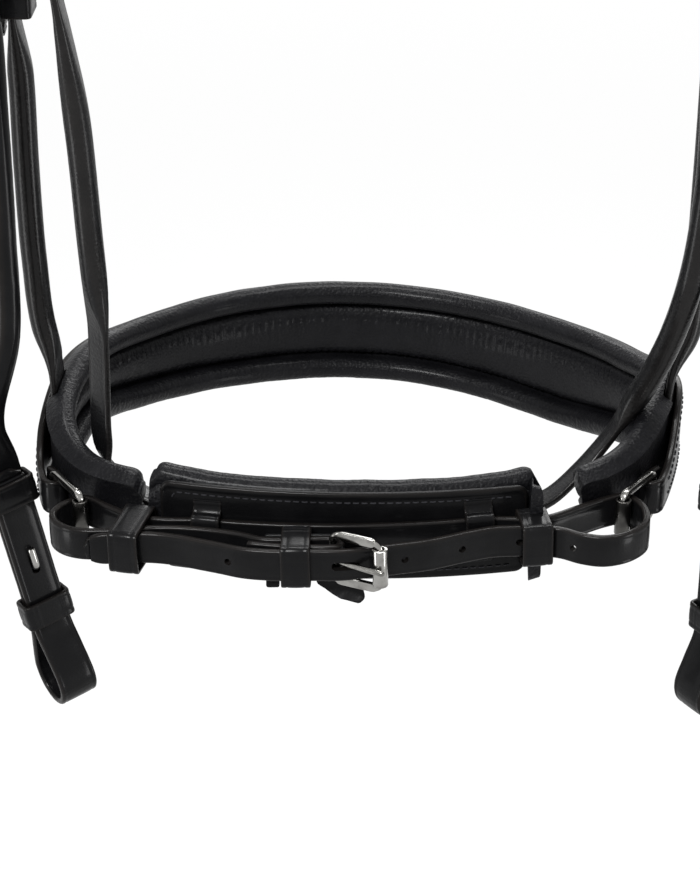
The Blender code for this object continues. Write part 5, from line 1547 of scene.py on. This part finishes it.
@dataclass
class Crank:
    """The crank strap from its buckle round the left ring, through the pad, round the right ring and back."""

    buckle_x: float = -0.0095
    rise: float = 0.0080
    roller: float = BUCKLE.wire + 0.0033
    corner: float = 0.0024
    hole_pitch: float = 0.0222
    guard_thick: float = 0.0018
    loose_keeper: float = 0.0115

    def place(self) -> Place:
        """The buckle's own place, in the noseband's frame."""
        y = CHIN_FACE - CUT.touch - CUT.thick + self.guard_low - CUT.slip - CUT.keeper_thick - 0.0021
        return Place(on_crank(Vector((self.buckle_x, y, 0))), Vector((1, 0, CRANK_SLOPE)), -FORWARD)

    @property
    def guard_low(self) -> float:
        """The guard's inner face, measured outward from the buckle's heel bar."""
        return -(BUCKLE.ply + CUT.thick / 2 + CUT.slip + self.guard_thick)

    def ways(self, side: Side, shares: Sequence[Pair]) -> Line:
        """Points between the buckle's heel bar and a ring's sleeve, from their shares of the way."""
        heel, axis = self.place().origin, ring_places(side)[1]
        return [Vector((mix(heel.x, axis.x, x), mix(heel.y, axis.y, y), 0)) for x, y in shares]

    def loop(self, side: Side, places: Sequence[Pair]) -> Line:
        """A loop's points round a ring's sleeve."""
        axis = ring_places(side)[1]
        return [Vector((axis.x + x, axis.y + y, 0)) for x, y in places]

    def outer_run(self) -> Line:
        """From the right loop under the buckle's toe to the billet's tip."""
        frame = self.place()
        low = self.rise - self.roller / 2 - CUT.touch - CUT.thick / 2
        line = self.ways(Side.RIGHT, RIGHT_RUN)
        under = ((0.0040, -0.0008), (-0.0030, 0.0008))
        line += [frame.at(BUCKLE.length + past, low + lift) for past, lift in under]
        line += [frame.at(u, BUCKLE.billet + 0.0001) for u in (0.0030, -0.0060, -0.0200)]
        return line + self.ways(Side.LEFT, LEFT_BILLET)

    def line(self) -> Line:
        """The whole strap seen from above, from the turned-back ply to the tip."""
        frame, ply = self.place(), BUCKLE.ply
        fold = arc(frame.origin, ply, 90, -90, 12, frame.along, frame.out)
        turned_back = ((-0.0310, -0.02), (-0.0200, 0.62), (-0.0090, 0.92))
        onward = ((-0.0090, 0.94), (-0.0200, 0.78), (-0.0260, 0.90))
        points = [frame.at(u, ply * share) for u, share in turned_back] + fold
        points += [frame.at(u, -ply * share) for u, share in onward]
        points += self.ways(Side.LEFT, LEFT_PLY) + self.loop(Side.LEFT, LEFT_LOOP)
        inner = (-0.0540, -0.0380, -0.0190, 0.0, 0.0190, 0.0380, 0.0530)
        points += [chin_line(CHIN_SHIFT + x, CUT.touch + CUT.thick / 2) for x in inner]
        return [on_crank(point) for point in points + self.loop(Side.RIGHT, RIGHT_LOOP) + self.outer_run()]

    def punches(self) -> list[Shape]:
        """The round holes along the outer run."""
        ways = self.loop(Side.RIGHT, RIGHT_LOOP[-3:]) + self.outer_run()
        points, _ = curve_through([on_crank(point) for point in ways], 0.0010)
        lengths = reached(points)
        start = next(length for length, p in zip(lengths, points) if p.x <= self.buckle_x + 0.0060)
        cutters = []
        for number in (-5, -4, -3, -2, -1, 2):
            wanted = start + number * self.hole_pitch
            i = next((i for i, length in enumerate(lengths) if length >= wanted > 0), 0)
            if i == 0:
                continue
            tangent = (points[i] - points[i - 1]).normalized()
            cutters.append(rod(NOSEBAND + points[i], tangent.cross(UP).normalized(), CUT.hole, 0.0046))
        return cutters

    def build(self, bench: Bench) -> None:
        """Builds the strap, the buckle with its roller and tongue, the keepers and the guard."""
        flat = strap_section(CUT.crank, CUT.thick, 0.0017)
        points = [NOSEBAND + point for point in self.line()]
        run = tipped(strap_run(points, 0.0016, lambda order: flat, lambda order: UP), 0.0080)
        here = self.place()
        frame = Place(NOSEBAND + here.origin, here.along, here.out)
        cutters = [heel_slit(frame), joined([tongue_hole(frame, BUCKLE.billet), *self.punches()])]
        strap = punched(object_of("crank_strap_leather", skin(rounded_ends(run))), cutters)
        bench.lay(strap, "crank_strap", Finish.STRAP)
        made = wire_frame(frame, CUT.crank, self.rise, self.corner)
        bench.make("crank_frame_steel", made, "crank_buckle_frame", Finish.STEEL, sharp=30)
        made = tongue_skin(frame, self.rise, self.roller)
        bench.make("crank_tongue_steel", made, "crank_buckle_tongue", Finish.STEEL)
        width = CUT.crank + 2 * (BUCKLE.margin - CUT.touch)
        toe = frame.at(BUCKLE.length, self.rise)
        made = tube(toe, frame.across, self.roller, BUCKLE.wire + 0.0009, width, 6.0)
        bench.make("crank_roller_steel", made, "crank_buckle_roller", Finish.STEEL)
        self.keepers(bench, frame)
        self.guard(bench, frame)

    def keepers(self, bench: Bench, frame: Place) -> None:
        """Three keepers: beside the buckle, by the left ring and by the right one."""
        near = Place(frame.at(-0.0135, 0), frame.along, frame.out)
        high = BUCKLE.billet + CUT.thick / 2
        made = keeper_skin(near, CUT.crank, self.guard_low, high, CUT.keeper_width)
        bench.make("crank_buckle_keeper_leather", made, "crank_buckle_keeper", Finish.STRAP)
        line, _ = curve_through(self.line(), 0.0010)
        half, width = CUT.thick / 2 + CUT.touch, self.loose_keeper
        for word, x, turn in (("left", -0.0853, -0.22), ("right", 0.0655, 0.16)):
            place = Place(on_crank(Vector((x, CHIN_FACE, 0))), Vector((1, turn, CRANK_SLOPE)), -FORWARD)
            ways = [p - place.origin for p in line]
            inside = [way for way in ways if abs(way.dot(place.along)) < width / 2 + 0.0008]
            heights = [way.dot(place.out) for way in inside]
            moved = Place(NOSEBAND + place.origin, place.along, place.out)
            made = keeper_skin(moved, CUT.crank, min(heights) - half, max(heights) + half, width)
            bench.make(f"crank_{word}_keeper_leather", made, f"crank_{word}_keeper", Finish.STRAP)

    def guard(self, bench: Bench, frame: Place) -> None:
        """The leather tongue under the buckle, cut from one sheet, its edges rounded."""
        bm, high = mapped_shape(), self.guard_low + self.guard_thick
        face = bm.faces.new([bm.verts.new(frame.at(u, high, z)) for u, z in GUARD_OUTLINE])
        bmesh.ops.bevel(
            bm, geom=list(face.verts), offset=0.0008, segments=3, profile=0.5, affect="VERTICES", material=-1
        )
        grown = bmesh.ops.extrude_face_region(bm, geom=list(bm.faces))
        moved = [item for item in grown["geom"] if isinstance(item, bmesh.types.BMVert)]
        bmesh.ops.translate(bm, verts=moved, vec=-frame.out * self.guard_thick)
        bmesh.ops.recalc_face_normals(bm, faces=bm.faces)
        rims = [e for e in bm.edges if len(e.link_faces) == 2 and e.calc_face_angle(0.0) > 1.2]
        bmesh.ops.bevel(bm, geom=rims, offset=0.0005, segments=3, profile=0.5, affect="EDGES", material=-1)
        cuts = [(frame.at(0, 0, -0.0190 + 0.0008 * step), frame.across) for step in range(18)]
        cuts += [(frame.at(-0.0250 + 0.0012 * step, 0, 0), frame.along) for step in range(34)]
        for place, normal in cuts:
            whole = [*bm.verts, *bm.edges, *bm.faces]
            bmesh.ops.bisect_plane(bm, geom=whole, plane_co=place, plane_no=normal, dist=1e-6)
        for vert in bm.verts:
            crumple = noise.noise(vert.co * 420) * 0.00035
            below = max(0.0, -0.0062 - (vert.co - frame.origin).dot(frame.across))
            vert.co += frame.out * ((below / 0.0138) ** 1.6 * 0.0062 + min(1.0, below / 0.003) * crumple)
        run_map, wear_map = bm.loops.layers.uv["run"], bm.loops.layers.uv["wear"]
        for face in bm.faces:
            for loop in face.loops:
                loop[wear_map].uv = (0.004, 0.0)
                loop[run_map].uv = (loop.vert.co.x, loop.vert.co.z)
        bench.make("crank_guard_leather", bm, "crank_buckle_guard", Finish.STRAP)


# --- the straps at the sides


NOSE_STRAP_X, NOSE_STRAP_Y, NOSE_BUCKLE_Z = 0.1290, 0.0230, -0.1850


@dataclass
class NosebandStraps:
    """The left cheek strap with its buckle, and the long strap over the poll from the right side."""

    def foot(self, side: Side) -> Line:
        """A strap's line from inside the noseband up the cheek."""
        seat, normal, _ = headstrap_seat(side)
        base = NOSEBAND + seat - normal * (CUT.thick / 2 + 0.0005)
        points = [base - UP * 0.0070, base + UP * 0.0060, base + UP * 0.0170]
        points.append(base + UP * 0.0270 + side.out * 0.0008)
        drop = NOSEBAND.z - NOSE_BUCKLE_Z
        for inward, y, share in ((0.0022, 0.0202, 0.760), (0.0, 0.0208, 0.628), (-0.0008, 0.0216, 0.442)):
            points.append(Vector((side.value * (NOSE_STRAP_X - inward), y, NOSE_BUCKLE_Z + drop * share)))
        return points

    def run(self, side: Side, points: Line, rolled: tuple[float, float, float, float]) -> Run:
        """A strap flat at its foot, rolled in its middle and flat at its top."""
        wide, flat = strap_section(CUT.cheek, CUT.thick), strap_section(CUT.crank, CUT.thick)
        roll = roll_section(CUT.roll)
        start, full, end, out = rolled
        foot_across = -headstrap_seat(side)[2]

        def section(order: float) -> Outline:
            """The section at a place in the points' list."""
            if order < full:
                return blend(wide, roll, (order - start) / (full - start))
            return blend(roll, flat, (order - end) / (out - end))

        def across(order: float) -> Vector:
            """The across direction at a place in the points' list."""
            return foot_across.lerp(FORWARD, clamped((order - 2) / 2)).normalized()

        return strap_run(points, 0.0024, section, across)

    def build(self, bench: Bench) -> None:
        """Builds both straps and their buckle."""
        heel = Vector((-NOSE_STRAP_X, NOSE_STRAP_Y, NOSE_BUCKLE_Z))
        frame = Place(heel, UP, Side.LEFT.out)
        points = self.foot(Side.LEFT) + [Vector((-NOSE_STRAP_X - 0.0008, 0.0226, NOSE_BUCKLE_Z - 0.0600))]
        run = self.run(Side.LEFT, points + list(reversed(chape(frame))), (2.5, 4.0, 7.0, 8.0))
        left = object_of("noseband_cheek_leather", skin(rounded_ends(run), rolled_lift))
        bench.lay(punched(left, [heel_slit(frame)]), "noseband_cheek_strap", Finish.ROLLED)
        points = self.foot(Side.RIGHT)
        cheek = ((0.0008, 0.0212, -0.0600), (0.0006, 0.0195, -0.0050), (0.0003, 0.0170, 0.0450))
        for outward, y, rise in cheek:
            points.append(Vector((NOSE_STRAP_X + outward, y, NOSE_BUCKLE_Z + rise)))
        for side, forward, angles in ((1, 0.0120, (72, 54, 36, 18)), (-1, 0.0140, (0, 18, 36, 54, 72))):
            for a in angles:
                points.append(arch_point(a, HEADSTRAP_OFFSET, 0.0040 + forward * (a / 80) ** 2, side))
        steps = ((0.0340, -0.0030), (0.0200, 0.0), (0.0, 0.0), (-0.0180, -0.0006), (-0.0340, -0.0004))
        points += [frame.at(u, BUCKLE.billet + lift) for u, lift in (*steps, (-0.0440, 0.0008))]
        run = tipped(self.run(Side.RIGHT, points, (2.4, 4.0, 8.0, 10.0)), 0.0090)
        cutters = [tongue_hole(frame, BUCKLE.billet)]
        for drop in (-0.0160, 0.0330):
            cutters.append(rod(frame.at(drop, BUCKLE.billet - 0.0010), frame.out, CUT.hole, 0.0070))
        right = object_of("noseband_headstrap_leather", skin(rounded_ends(run), rolled_lift))
        bench.lay(punched(right, [joined(cutters)]), "noseband_headstrap", Finish.ROLLED)
        BuckleSet("noseband", frame, CUT.crank).build(bench)


def rolled_lift(spot: int, along: float) -> float:
    """How a rolled strap's skin puckers: short folds all round, and none to speak of where it is flat."""
    return -0.00011 * abs(ripple(along * 420, spot * 0.30, 4.0)) ** 0.8


# A cheekpiece between its buckle and its bit keepers: share of the drop, bow inward, share of the way back
CHEEK_ROUTE: tuple[Row, ...] = (
    (0.265, 0.0003, 0.0), (0.397, 0.0014, 0.16), (0.596, 0.0030, 0.45), (0.773, 0.0039, 0.75),
)


@dataclass
class Cheekpiece:
    """A rolled cheekpiece: a buckle on top, and a billet looped for the bit and hooked on a stud below."""

    side: Side
    turn: float
    lean: float
    back: float = 0.0220
    low_x: float = 0.1404
    low_z: float = -0.3865
    loop_drop: float = 0.1086
    loop_radius: float = 0.0105
    stud_wire: float = 0.0030
    stud_bend: float = 0.0022

    def places(self) -> tuple[Place, Place]:
        """The place of its buckle and that of its lower billet."""
        sign, angle, slope = self.side.value, math.radians(self.turn), math.radians(self.lean)
        top = Place(Vector((sign * CHEEK_X, 0, CHEEK_BUCKLE_Z)), UP, self.side.out)
        inner = Vector((-sign * math.cos(angle), -math.sin(angle), 0))
        down = Vector((-sign * math.sin(slope), 0, -math.cos(slope)))
        return top, Place(Vector((sign * self.low_x, -self.back, self.low_z)), down, inner)

    def build(self, bench: Bench) -> None:
        """Builds the strap, its stud, its two bit keepers and its buckle."""
        top, low = self.places()
        half = CUT.thick / 2 + 0.0003
        points = chape(top)
        first = len(points) - 1
        for share, bow, back in CHEEK_ROUTE:
            x, z = mix(CHEEK_X, self.low_x, share**2) - bow, mix(CHEEK_BUCKLE_Z, self.low_z, share)
            points.append(Vector((self.side.value * x, -self.back * back, z)))
        points += [low.at(u, n) for u, n in ((-0.0130, 0), (0.0060, -half), (0.0360, -half), (0.0620, -half))]
        points += [low.at(0.0760, -half - 0.0006), low.at(0.0860, -half - 0.0048)]
        centre = low.at(self.loop_drop - self.loop_radius, 0)
        points += arc(centre, self.loop_radius, 180, 0, 14, low.out, low.along)
        points += [low.at(0.0860, half + 0.0048), low.at(0.0760, half + 0.0006)]
        points += [low.at(u, half) for u in (0.0620, 0.0360, 0.0160, 0.0040)]
        roll, flat = roll_section(CUT.roll), strap_section(CUT.cheek, CUT.thick, 0.0020)
        low_across = low.across if top.across.dot(low.across) > 0 else -low.across

        def section(order: float) -> Outline:
            """Flat at the buckle, rolled down the cheek, flat from the bit keepers on."""
            order -= first
            return blend(flat, roll, order) if order < 2 else blend(roll, flat, (order - 4.4) / 1.4)

        def across(order: float) -> Vector:
            """The across direction, turning from the buckle's to the billet's."""
            return top.across.lerp(low_across, clamped((order - first - 1) / 4.4)).normalized()

        run = tipped(strap_run(points, 0.0022, section, across), 0.0070, 0.35)
        slit = oblong(low.at(0.0440, half), low.across, low.along, (0.0034, 0.0120, CUT.thick + 0.0020))
        word = self.side.word
        strap = object_of(f"{word}_cheekpiece_leather", skin(rounded_ends(run), rolled_lift))
        bench.lay(punched(strap, [joined([slit, heel_slit(top)])]), f"{word}_cheekpiece", Finish.STRAP)
        bench.make(f"{word}_stud_steel", self.stud(low, half), f"{word}_hook_stud", Finish.STEEL)
        under = -half - CUT.thick / 2
        for name, u in (("upper", 0.0135), ("lower", 0.0672)):
            here = Place(low.at(u, 0), low.along, low.out)
            made = keeper_skin(here, CUT.cheek, under, -under, CUT.keeper_width)
            bench.make(f"{word}_bit_{name}_leather", made, f"{word}_bit_{name}_keeper", Finish.STRAP)
        BuckleSet(f"{word}_cheek", top, CUT.cheek).build(bench)

    def stud(self, low: Place, half: float) -> Shape:
        """A hook that stands on the strap, comes through the slit and lies up the billet."""
        diameter, bend = self.stud_wire, self.stud_bend
        base = low.at(0.0470, -half + CUT.thick / 2 + CUT.touch)
        rise = half * 2 + CUT.touch + diameter / 2 - 0.0008
        points = [base, base + low.out * (rise - bend)]
        centre = base + low.out * (rise - bend) - low.along * bend
        points += arc(centre, bend, 0, 90, 8, low.along, low.out)[1:]
        for reach in (0.0030, 0.0030, 0.0008, 0.0003):
            points.append(points[-1] - low.along * reach)
        sections = [wire_section(diameter, 16)] * (len(points) - 2)
        sections += [scaled(sections[0], size, size) for size in (0.86, 0.50)]
        return skin(even(points, low.across, sections))


# The throatlash from left to right: x as a share of the noseband's half width, y, share of the drop
THROAT_ROUTE: tuple[Row, ...] = (
    (-0.851, -0.0225, 0.240), (-0.829, -0.0160, 0.400), (-0.818, -0.0110, 0.580), (-0.811, -0.0080, 0.700),
    (-0.813, -0.0072, 0.792), (-0.816, -0.0075, 0.864), (-0.816, -0.0085, 0.920), (-0.806, -0.0100, 0.960),
    (-0.768, -0.0125, 0.994), (-0.672, -0.0160, 1.018), (-0.360, -0.0190, 1.034), (0.000, -0.0200, 1.038),
    (0.360, -0.0180, 1.032), (0.584, -0.0120, 1.018), (0.680, -0.0060, 0.982), (0.756, -0.0010, 0.942),
    (0.828, 0.0010, 0.888), (0.904, -0.0020, 0.808), (0.978, -0.0110, 0.660), (1.010, -0.0140, 0.500),
    (1.005, -0.0190, 0.340), (0.997, -0.0225, 0.240),
)


@dataclass
class Throatlash:
    """The strap that hangs in a bight: flat at its buckles, rolled at its sides and flat at its bottom."""

    crown: Crown

    def build(self, bench: Bench) -> None:
        """Builds the strap and its two buckles."""
        frames = {side: Place(self.crown.throat_heel(side), UP, side.out) for side in Side}
        start, end = chape(frames[Side.LEFT]), list(reversed(chape(frames[Side.RIGHT])))
        way = NOSEBAND.z - self.crown.throat_z
        route = [Vector((0.1250 * x, y, self.crown.throat_z + way * share)) for x, y, share in THROAT_ROUTE]
        roll, flat = roll_section(CUT.roll), strap_section(CUT.throat, CUT.thick)
        first, last = len(start) - 1, len(start) + len(route)

        def section(order: float) -> Outline:
            """Flat at both buckles and at the bottom, rolled at both sides."""
            share = clamped((min(order - first, last - order) - 0.5) / 1.5)
            if first + 3.6 < order < last - 5.6:
                share = min(share, max(0.0, 1 - min(order - first - 3.6, last - 5.6 - order)))
            return blend(flat, roll, share)

        def across(order: float) -> Vector:
            """Front to back, and turned to show the flat part's face where it hangs inside the left side."""
            turn = smooth((order - first - 2.6) / 1.6) * (1 - smooth((order - first - 7.2) / 1.8))
            return Matrix.Rotation(math.radians(40) * turn, 3, "Z") @ FORWARD

        run = strap_run(start + route + end, 0.0026, section, across)
        strap = object_of("throatlash_leather", skin(rounded_ends(run), rolled_lift))
        cutters = [joined([heel_slit(frame) for frame in frames.values()])]
        bench.lay(punched(strap, cutters), "throatlash", Finish.ROLLED)
        for side, frame in frames.items():
            BuckleSet(f"{side.word}_throat", frame, CUT.throat).build(bench)


# --- the studio


# Each lamp's name, place, size and watts. The two low side lamps put a highlight down each flank of the
# upright rolled straps.
LAMPS = (
    ("key_softbox", (-0.35, -0.85, 0.55), (0.45, 0.25), 19.0),
    ("top_softbox", (0.10, 0.30, 0.70), (0.8, 0.3), 16.0),
    ("right_softbox", (0.80, -0.40, -0.50), (0.22, 0.7), 3.8),
    ("left_softbox", (-0.75, -0.38, -0.50), (0.22, 0.7), 2.8),
    ("back_softbox", (0.25, 1.40, 0.30), (0.9, 0.4), 9.0),
)


@dataclass
class Studio:
    """A white sweep, soft lamps, and the photograph's camera."""

    target: Vector
    elevation: float = 28.0
    yaw: float = 1.7
    distance: float = 0.985
    floor_level: float = -0.78

    def camera(self) -> None:
        """A long lens at the photograph's angle, above the chin."""
        rise, turn = math.radians(self.elevation), math.radians(self.yaw)
        ahead = Vector((-math.sin(turn), math.cos(turn), 0)) * math.cos(rise) - UP * math.sin(rise)
        lens = bpy.data.cameras.new("camera")
        lens.lens, lens.sensor_fit, lens.sensor_height = 100.0, "VERTICAL", 36.0
        lens.clip_start, lens.clip_end = 0.05, 20.0
        bpy.context.scene.camera = self.placed(lens, self.target - ahead * self.distance, ahead)

    def lamp(self, name: str, where: Vector, size: Pair, power: float) -> None:
        """A soft oblong lamp that faces the noseband."""
        light = bpy.data.lights.new(name, "AREA")
        light.shape, light.size, light.size_y, light.energy = "RECTANGLE", size[0], size[1], power
        self.placed(light, where, self.target - where)

    @staticmethod
    def placed(data: bpy.types.ID, where: Vector, ahead: Vector) -> Piece:
        """A camera or lamp at a place, turned to look a certain way."""
        made = bpy.data.objects.new(data.name, data)
        made.rotation_mode, made.location = "QUATERNION", where
        made.rotation_quaternion = ahead.to_track_quat("-Z", "Y")
        bpy.context.scene.collection.objects.link(made)
        return made

    @staticmethod
    def seen(tree: Tree) -> Socket:
        """1 for rays that show the surroundings, straight or mirrored, and 0 for those that light."""
        rays = add_node(tree, "ShaderNodeLightPath").outputs
        seen = rays["Is Camera Ray"]
        for kind in ("Is Glossy Ray", "Is Transmission Ray"):
            seen = add_node(tree, MATH, {0: seen, 1: rays[kind]}, operation="MAXIMUM").outputs[0]
        return seen

    def backdrop(self) -> None:
        """A pale floor that runs white into the distance and keeps the object's soft shadow."""
        bm = bmesh.new()
        level = Matrix.Translation((0, 0, self.floor_level))
        bmesh.ops.create_grid(bm, x_segments=4, y_segments=4, size=4.0, matrix=level)
        floor = object_of("floor", bm)
        material, tree, shader = fresh_material("paper_sweep_white")
        fibres = add_node(tree, NOISE, {"Scale": 300.0, "Detail": 2.0}).outputs[0]
        inputs = {"Value": fibres, "To Min": 0.80, "To Max": 0.95}
        roughness = add_node(tree, RANGE, inputs).outputs[0]
        tree.links.new(roughness, shader.inputs["Roughness"])
        shader.inputs["Base Color"].default_value = srgb("#F4F4F3")
        glow = add_node(tree, "ShaderNodeEmission", {"Color": (1, 1, 1, 1), "Strength": 1.0})
        # Near the object it keeps its shadow; farther out it runs into the white behind it.
        here = add_node(tree, "ShaderNodeTexCoord").outputs["Object"]
        away = add_node(tree, "ShaderNodeVectorMath", {0: here}, operation="LENGTH").outputs["Value"]
        inputs = {"Value": away, "From Min": 0.9, "From Max": 2.0, "To Min": 0.84, "To Max": 1.0}
        paper = add_node(tree, RANGE, inputs, interpolation_type="SMOOTHSTEP").outputs[0]
        inputs = {0: self.seen(tree), 1: paper}
        share = add_node(tree, MATH, inputs, operation="MULTIPLY").outputs[0]
        mixed = add_node(tree, "ShaderNodeMixShader", {0: share, 1: shader.outputs[0], 2: glow.outputs[0]})
        tree.links.new(mixed.outputs[0], tree.nodes["Material Output"].inputs["Surface"])
        floor.data.materials.append(material)

    def world(self) -> None:
        """White where it is seen, and a dim grey room to light the object."""
        world = bpy.data.worlds.new("studio")
        world.use_nodes = True
        bpy.context.scene.world = world
        tree = world.node_tree
        background = tree.nodes["Background"]
        background.inputs["Color"].default_value = srgb("#B4B6BA")
        background.inputs["Strength"].default_value = 0.30
        white = add_node(tree, "ShaderNodeBackground", {"Color": (1, 1, 1, 1), "Strength": 1.0})
        mixed = add_node(
            tree, "ShaderNodeMixShader", {0: self.seen(tree), 1: background.outputs[0], 2: white.outputs[0]}
        )
        tree.links.new(mixed.outputs[0], tree.nodes["World Output"].inputs["Surface"])

    def build(self) -> None:
        """Sets up the camera, the lamps, the floor and the world."""
        self.camera()
        for name, where, size, power in LAMPS:
            self.lamp(name, Vector(where), size, power)
        self.backdrop()
        self.world()
        bpy.context.scene.view_settings.view_transform = "Standard"


def main() -> None:
    """Builds the bridle, one sub-assembly after the other, and the studio round it."""
    logging.basicConfig(level=logging.INFO, format="%(name)s: %(message)s")
    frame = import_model()
    homes = {node: body for body, nodes in frame["record"]["behaviour"]["bodies"].items() for node in nodes}
    bench = Bench(homes, {})
    crown = Crown()
    cheekpieces = [Cheekpiece(Side.LEFT, 55.0, 12.0), Cheekpiece(Side.RIGHT, 35.0, 0.0)]
    front = [crown, Browband(), Noseband(), ChinPad(), Crank()]
    for part in (*front, NosebandStraps(), *cheekpieces, Throatlash(crown)):
        part.build(bench)
        LOG.info("%s finished", type(part).__name__)
    Studio(Vector((-0.006, 0.030, -0.400))).build()


if __name__ == "__main__":
    main()
